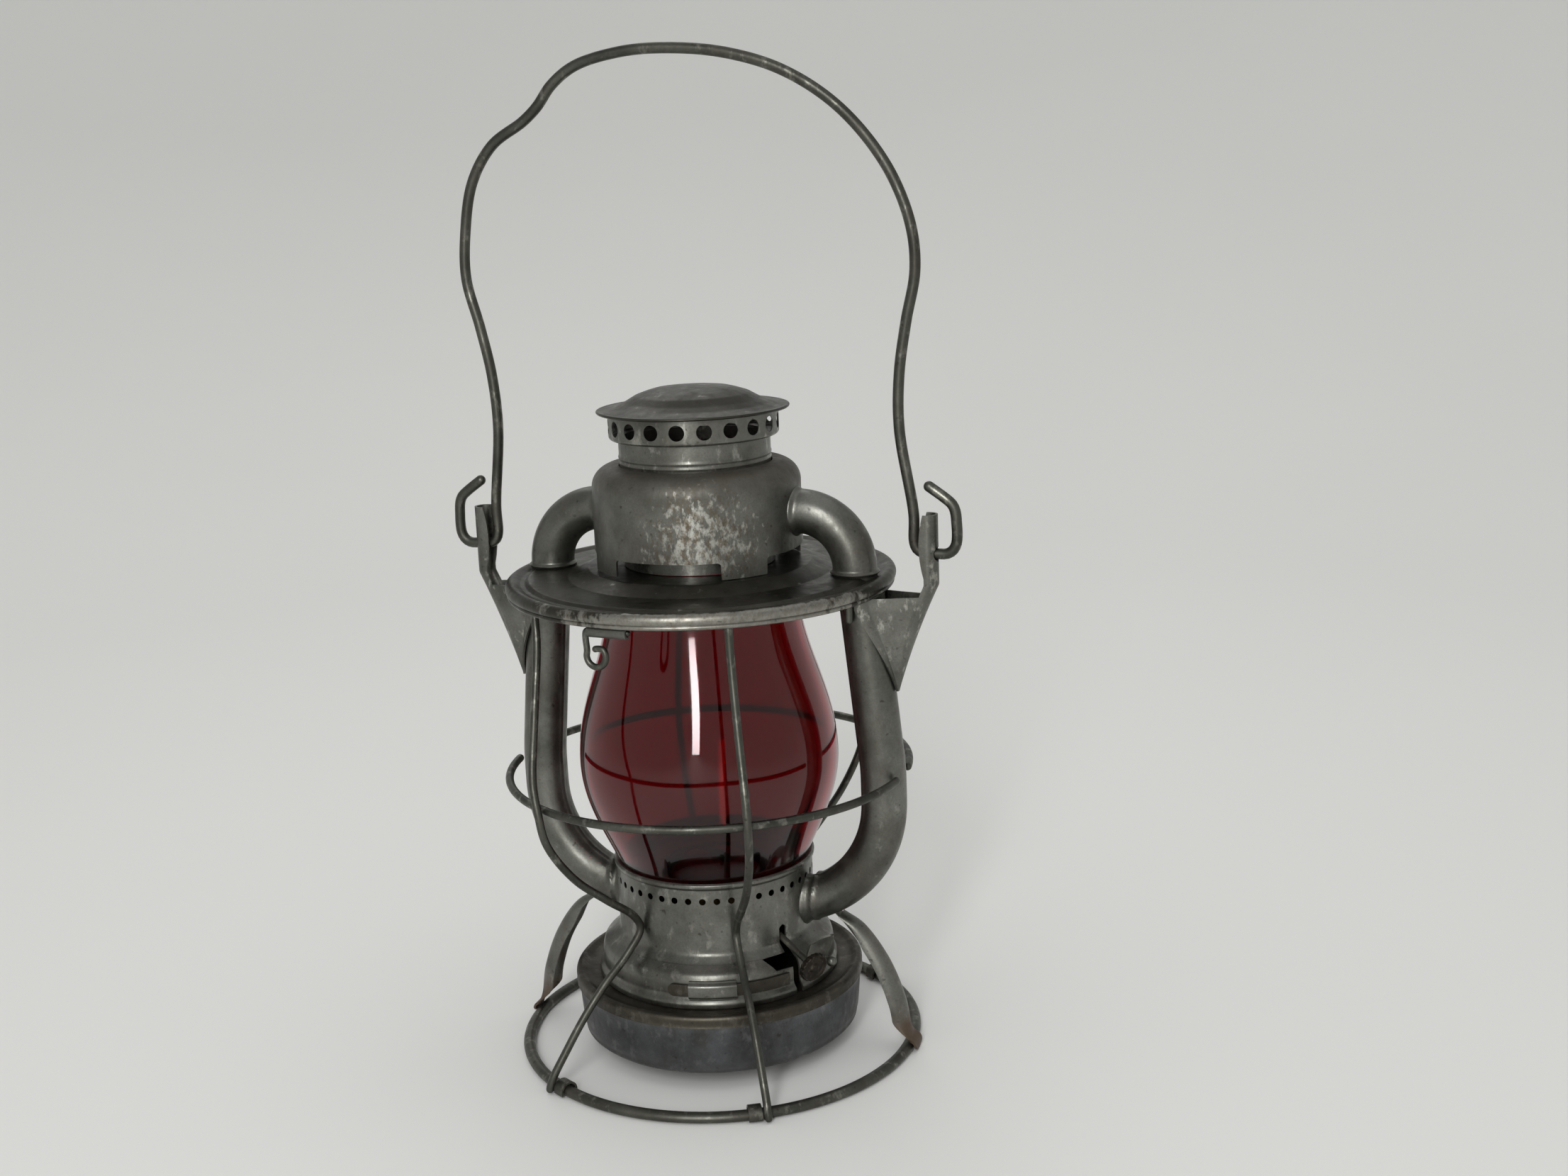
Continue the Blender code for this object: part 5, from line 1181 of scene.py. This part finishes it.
def crown_plate():
    """A raised middle, a flat, a groove, a broad rolled bead, and a smaller bead that turns under it."""
    middle = (plate_radius - RIM_BEAD, plate_top - RIM_BEAD)
    line = [(PLATE_HOLE, plate_top + PLATE_RISE), (HOOD_RADIUS + 0.0035, plate_top + PLATE_RISE)]
    line += [(HOOD_RADIUS + 0.0115, plate_top + 0.0002), (plate_radius - 0.0092, plate_top)]
    line += [(plate_radius - 0.0076, plate_top - 0.0012), (plate_radius - 0.0060, plate_top - 0.0012)]
    bead = arc(middle, RIM_BEAD, 116.0, -38.0, 30)
    nip = [(plate_radius - 0.0012, plate_top - 2 * RIM_BEAD + 0.0010)]
    lip = arc((plate_radius - 0.0016, plate_top - 2 * RIM_BEAD + 0.0001), 0.0010, 40.0, -150.0, 14)
    return walled(eased(np.concatenate([line, bead, nip, lip]), 0.0010, 0.0002))


def chimney():
    """A straight pipe whose bare neck has two low beads near the hood."""
    height = np.linspace(chimney_top, hood_bottom, 200)
    beads = [np.exp(-(((height - hood_top - rise) / NECK_BEAD_REACH) ** 2)) for rise in (0.0012, 0.0032)]
    return walled(np.stack([CHIMNEY_RADIUS + NECK_BEAD * sum(beads), height], axis=1))


def dome_cap():
    """A low dome that flares out into a broad thin brim with a rolled edge."""
    wide, tall, low = cap_high.x - BRIM, cap_high.z - cap_low.z - SHEET, cap_low.z + SHEET
    dome = [(0.0, 1.0), (0.22, 0.985), (0.40, 0.91), (0.48, 0.82), (0.60, 0.64), (0.71, 0.36)]
    line = np.array(dome + [(0.81, 0.17), (0.90, 0.07), (0.97, 0.03)]) * (wide, tall) + (0.0, low)
    edge = arc((wide, low - 0.0001), BRIM, 90.0, -90.0, 12)
    return walled(eased(np.concatenate([line, edge]), 0.0022, 0.0002), BRIM)


dress("crown_plate", [turned(crown_plate(), 176, 0.0004, 2.0)], sooty_tin)
dress("chimney", [turned(chimney(), 120, 0.0002, 0.5)], tin_vent)
dress("dome_cap", [turned(dome_cap(), 128, 0.0002, 4.0)], sooty_tin)

# %% [markdown]
# ## The hood
# The hood gathers the hot air over the globe. It is spun with a round shoulder, and four slots are cut
# along its foot to draw in fresh air. A cut could be made with a boolean, but the foot is simply a height
# that depends on the angle: below a level line, the rows run on down to that height, so that the mesh
# stays in even quads.

# %% Hood with its slots
SLOT_SPAN, SLOT_HEIGHT, SLOT_CORNER = 63.0, 0.0064, 0.0016
HOOD_SHOULDER, HOOD_CUT = 0.0080, 0.0090
HOOD_KNOCKS = (0.0004, 6.0)


def slot_rise(angle):
    """The height of the hood's foot: nil, or the slot's height with its two corners rounded."""
    off = np.abs((angle + 45.0) % 90.0 - 45.0)
    inside = np.radians(SLOT_SPAN / 2 - off) * HOOD_RADIUS
    corner = np.clip(1.0 - inside / SLOT_CORNER, 0.0, 1.0)
    drop = SLOT_CORNER * (1.0 - np.sqrt(1.0 - corner**2))
    return np.where(inside > 0.0, SLOT_HEIGHT - drop, 0.0)


def hood():
    """A shoulder and a wall turned round the axis; below a cut, heights run on to the foot's height."""
    cut = hood_bottom + HOOD_CUT
    middle = (HOOD_RADIUS - HOOD_SHOULDER, hood_top - HOOD_SHOULDER)
    shoulder = arc(middle, HOOD_SHOULDER, 88.0, 0.0, 24)
    line = np.concatenate([[(CHIMNEY_RADIUS + FIT, hood_top)], shoulder, [(HOOD_RADIUS, cut)]])
    upper = eased(line, 0.0016)
    inside = walled(upper)[: len(upper) - 1 : -1]
    edge = SLOT_SPAN / 2 + np.concatenate([np.linspace(-2.6, 0.0, 14), [0.02]])
    ends = np.concatenate([90.0 * k + sign * edge for k in range(4) for sign in (-1.0, 1.0)])
    angle = np.concatenate([np.linspace(0.0, 358.0, 180), ends]) % 360.0
    angle = np.unique(np.round(angle, 4))[None, :]
    lower = cut + np.linspace(0.0, 1.0, 24)[1:, None] * (hood_bottom + slot_rise(angle) - cut)
    parts, wide = ((upper, HOOD_RADIUS), (inside, HOOD_RADIUS - SHEET)), (len(upper), angle.shape[1])
    radii = [np.concatenate([part[:, 0], np.full(len(lower), wall)])[:, None] for part, wall in parts]
    heights = [np.concatenate([np.broadcast_to(part[:, 1:], wide), lower]) for part, _ in parts]
    wave = knocks(angle, heights[0], *HOOD_KNOCKS)
    outer, inner = (polar(angle, radius + wave, height) for radius, height in zip(radii, heights))
    return [quads(np.concatenate([outer, inner[::-1]]), round_rows=True, round_columns=True)]


dress("hood", hood(), tin_hood)

# %% [markdown]
# ## The vent ring
# Smoke leaves under the cap through a ring of large holes. It is the same band of cells as the collar's,
# with fewer and larger ones, and a floor below it that turns in to the chimney.

# %% Vent ring
VENT_HOLES, VENT_HOLE, VENT_BAND = 20, 0.00295, 0.0037
VENT_STEPS = 10
VENT_START = 90.0


def vent_ring():
    """The pierced band, a lip above it, and a floor below that turns in to the chimney."""
    radius, inner = vent_high.x, vent_high.x - SHEET
    level = (vent_low.z + vent_high.z) / 2 + 0.0004
    low, high = level - VENT_BAND, level + VENT_BAND
    floor = [(radius, low), (radius, vent_low.z + 0.0008), (radius - 0.0008, vent_low.z)]
    floor = walled(eased(floor + [(CHIMNEY_RADIUS - 0.0020, vent_low.z)], 0.0014, 0.0003))
    floor[-1] = (inner, low)
    lip = np.array([(radius, high), (radius, vent_high.z), (inner, vent_high.z), (inner, high)])
    columns, first_hole = VENT_HOLES * VENT_STEPS, VENT_START + 180.0 / VENT_HOLES
    trim = [turned(part, columns, first=VENT_START, closed=False) for part in (floor, lip)]
    return trim + pierced_band(radius, level, VENT_BAND, VENT_HOLE, VENT_HOLES, first_hole, VENT_STEPS)


dress("vent_ring", vent_ring(), tin_vent)

# %% [markdown]
# ## Globe ring, hinge and finger hook
# Under the crown plate a ring keeps the globe's top in place. At the back a tab curls round the top hoop
# as a hinge, and at the front a strip curls round the finger hook, a bent wire that catches under the
# hoop. A tab is a strip of sheet along a line in one upright plane, so one function serves both.

# %% Globe ring, hinge and hook bracket
GLOBE_RING_HOLE = 0.0320
TAB_START = 0.0125
ring_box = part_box("globe_ring")
ring_line = [(GLOBE_RING_HOLE, ring_box[1].z), (ring_box[1].x, ring_box[1].z)]
ring_line = eased(ring_line + [(ring_box[1].x, ring_box[0].z)], 0.0016)
dress("globe_ring", [turned(walled(ring_line), 96)], sooty_tin)
HINGE_WIDTH, BRACKET_WIDTH = 0.0140, 0.0160
HOOK_ANGLE, HOOK_WIRE, HOOK_OUT = -8.0, 0.0024, 0.0082
HOOK_DROP, HOOK_CURL = 0.0135, 0.0040
under = plate_top - SHEET - FIT - SHEET / 2
hook_level = plate_top - 2 * RIM_BEAD - HOOK_WIRE / 2 - RUN - SHEET - FIT
hook_radius = TOP_HOOP_RADIUS + HOOK_OUT


def strip_along(angle, width, corners, soft=0.0012):
    """A flat strip whose middle follows (radius, height) at an angle, and whose width lies across it."""
    line = eased(corners, soft)
    across = np.linspace(-0.5, 0.5, 9)[None, :, None] * width
    return polar(angle, line[:, None, 0], line[:, None, 1]) + across * polar(angle + 90.0, 1.0, 0.0)


curl = arc((TOP_HOOP_RADIUS, top_level), HOOP_WIRE / 2 + 0.0007 + SHEET / 2, 118.0, -130.0, 24)
tab = (HOOD_RADIUS + TAB_START, under)
path = np.concatenate([[tab, (TOP_HOOP_RADIUS - 0.0050, under)], curl])
dress("crown_hinge", slab(strip_along(180.0, HINGE_WIDTH, path)), sooty_tin)
over = top_level + HOOP_WIRE / 2 + FIT + SHEET / 2
curl = arc((hook_radius, hook_level), HOOK_WIRE / 2 + RUN + SHEET / 2, 150.0, -110.0, 24)
path = [tab, (TOP_HOOP_RADIUS - 0.0060, under), (TOP_HOOP_RADIUS - 0.0022, over)]
path = np.concatenate([path, [(TOP_HOOP_RADIUS + 0.0026, over)], curl])
dress("hook_bracket", slab(strip_along(HOOK_ANGLE, BRACKET_WIDTH, path)), tin_tube)


def finger_hook():
    """A wire that lies in the bracket's curl, turns down, and ends in a spiral for the finger."""
    left = -BRACKET_WIDTH / 2 - HOOK_WIRE / 2 - RUN
    low = -HOOK_DROP + HOOK_CURL
    flat = [(BRACKET_WIDTH / 2 + 0.0010, 0.0), (left + 0.0020, 0.0), (left + 0.0004, -0.0004)]
    flat += [(left, -0.0022), (left + 0.0003, low + 0.0020)]
    spiral = arc((left + HOOK_CURL, low), HOOK_CURL, 185.0, 400.0, 7)
    inner = arc((left + HOOK_CURL + 0.0003, low + 0.0004), 0.62 * HOOK_CURL, 85.0, 130.0, 2)
    flat = np.concatenate([flat, spiral, inner])
    across = polar(HOOK_ANGLE + 90.0, 1.0, 0.0)
    knots = polar(HOOK_ANGLE, hook_radius, hook_level) + flat[:, :1] * across
    knots[:, 2] += flat[:, 1]
    return bent(knots, 120)


dress("finger_hook", [wire(finger_hook(), HOOK_WIRE / 2, polar(HOOK_ANGLE, 1.0, 0.0), 16)], worn_wire)

# %% [markdown]
# ## The fount
# The fount holds the oil. It is a shallow pan with a rounded foot and a bottom bead, and a deck with a
# raised lip and a gutter that catches drips. Both are spun like the crown, so both are turned sections. A
# brass ring in the deck takes the burner.

# %% Fount
tank_low, tank_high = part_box("fount_tank")
deck_low, deck_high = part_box("fount_deck")
deck_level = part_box("fount_collar")[0].z - FIT
FILLER = 0.0142


def fount_tank():
    """A wall that leans in a little, a rounded foot with a bead, and a bottom that domes up."""
    wide = tank_high.x
    low = wide - 0.0012
    line = [(wide, tank_high.z), (wide, tank_high.z - 0.0040), (low + 0.0001, tank_low.z + 0.0052)]
    line += [(low - 0.0006, tank_low.z + 0.0030), (low - 0.0004, tank_low.z + 0.0020)]
    line += [(low - 0.0022, tank_low.z + 0.0004), (low - 0.0052, tank_low.z)]
    line += [(0.75 * low, tank_low.z + SHEET), (0.0, tank_low.z + 2 * SHEET)]
    return walled(eased(line, 0.0022, 0.0004))


def fount_deck():
    """A flat deck, a gutter, a raised round lip, and a short skirt outside the pan's wall."""
    rim = deck_high.x
    line = [(FILLER, deck_level), (rim - 0.0062, deck_level), (rim - 0.0046, deck_level + 0.0004)]
    line += [(rim - 0.0022, deck_high.z), (rim - 0.0006, deck_high.z - 0.0004)]
    line += [(rim, deck_level + 0.0004), (rim - 0.0002, deck_low.z + 0.0008), (rim, deck_low.z)]
    return walled(eased(line, 0.0012))


dress("fount_tank", [turned(fount_tank(), 160, 0.0003, 3.0)], tin_fount)
dress("fount_deck", [turned(fount_deck(), 160)], grimy_tin)

# %% [markdown]
# ## The burner
# Inside the globe stands a small brass burner: a threaded foot, a drum, a cone with a slot for the
# flame, and a flat tube for the wick. The foot and the drum are turned sections. The cone, the tube, the
# spur wheels and the wick show little through the glass, so the solids stay and only take a finish.

# %% Burner
filler_low, filler_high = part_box("fount_collar")
drum_low, drum_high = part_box("burner_body")
WICK_ANGLE, SHAFT_SLOPE = 54.3, 17.0
BURNER_RADIUS = 0.0175
RING_WALL, FOOT_REACH, THIMBLE = 0.0027, 0.0042, 0.0096
THREAD = 0.00018


def fount_collar():
    """A thick ring with a thread of three low waves on its wall."""
    outer = FILLER + RING_WALL
    height = np.linspace(filler_high.z, filler_low.z, 60)
    share = np.linspace(0.0, 1.0, 60)
    fade = eased_step(share, 0.05, 0.2) * eased_step(1 - share, 0.05, 0.2)
    thread = THREAD * np.sin(6 * np.pi * share) * fade
    wall = np.stack([outer - 0.0002 + thread, height], axis=1)
    return np.concatenate([[(FILLER, filler_high.z)], wall, [(FILLER, filler_low.z)]])


def burner_body():
    """A flared rim, a drum, a stepped foot over the ring, and a thimble down through it."""
    low = filler_high.z + FIT
    foot = FILLER + FOOT_REACH
    line = [(BURNER_RADIUS + 0.0025, drum_high.z), (BURNER_RADIUS, drum_high.z - 0.0014)]
    line += [(BURNER_RADIUS, low + 0.0048), (foot, low + 0.0028), (foot, low), (FILLER - RUN, low)]
    line += [(FILLER - RUN, drum_low.z), (THIMBLE, drum_low.z)]
    return walled(eased(line, 0.0008))


dress("fount_collar", [turned(fount_collar(), 72)], old_brass)
dress("burner_body", [turned(burner_body(), 96)], old_brass)
for node in ("burner_cone", "wick_tube", "spur_wheel_inner", "spur_wheel_outer", "wick"):
    finish = frame["nodes"][node].data.materials
    finish.clear()
    finish.append(cotton if node == "wick" else old_brass)

# %% [markdown]
# ## The wick shaft and its knob
# A thin shaft runs from the burner down through the collar's slot. Two spur wheels on it move the wick,
# and a small cast knob turns it. The knob is rings of points along the shaft, whose radius waves at the
# edge as a milled rim does.

# %% Wick shaft and knob
KNOB_REACH, KNOB_HEIGHT = 0.0561, 0.0452
KNOB_RADIUS, KNOB_THICK, KNOB_RIDGES, RIDGE_DEPTH = 0.0060, 0.0026, 18, 0.00028
SHAFT_RADIUS, SHAFT_OFFSET, SHAFT_START = 0.0013, 0.0042, -0.0078
slope = math.radians(SHAFT_SLOPE)
shaft_out = polar(WICK_ANGLE, 1.0, 0.0)
shaft_across = polar(WICK_ANGLE + 90.0, 1.0, 0.0)
shaft_axis = shaft_out * math.cos(slope) - np.array([0.0, 0.0, math.sin(slope)])


def shaft_point(reach):
    """The point of the shaft's axis at a distance along its plan: it falls towards the knob."""
    rise = KNOB_HEIGHT + (KNOB_REACH - reach) * math.tan(slope)
    return shaft_across * SHAFT_OFFSET + shaft_out * reach + np.array([0.0, 0.0, rise])


def knob():
    """Rings along the shaft: a boss, a dished face, and an edge whose radius waves with the ridges."""
    face = [(0.0, 1.0), (0.20, 1.0), (0.28, 0.70), (0.36, 0.30), (0.72, 0.25), (0.82, 0.70)]
    rim = [(0.90, 0.95), (0.97, 0.85), (1.0, 0.55), (1.0, -0.55), (0.96, -0.9), (0.85, -1.0)]
    rim += [(0.0, -1.0)]
    line = eased(np.array(face + rim) * (KNOB_RADIUS, KNOB_THICK / 2), 0.0004, 0.0001)
    turns = full_turn(KNOB_RIDGES * 8, 2 * np.pi)
    edge = eased_step(line[:, 0], 0.86 * KNOB_RADIUS, 0.98 * KNOB_RADIUS)[:, None]
    radius = line[:, :1] - RIDGE_DEPTH * edge * (0.5 - 0.5 * np.cos(KNOB_RIDGES * turns))
    up = np.cross(shaft_axis, shaft_across)
    ring = shaft_across * np.cos(turns)[:, None] + up * np.sin(turns)[:, None]
    middle = shaft_point(KNOB_REACH) + shaft_axis * (FIT + KNOB_THICK / 2)
    rings = middle + radius[..., None] * ring + line[:, 1, None, None] * shaft_axis
    return [quads(rings, round_columns=True)]


shaft_line = np.linspace(shaft_point(SHAFT_START), shaft_point(KNOB_REACH), 30)
dress("wick_shaft", [wire(shaft_line, SHAFT_RADIUS, shaft_across, 16)], worn_wire)
dress("wick_knob", knob(), dark_iron)
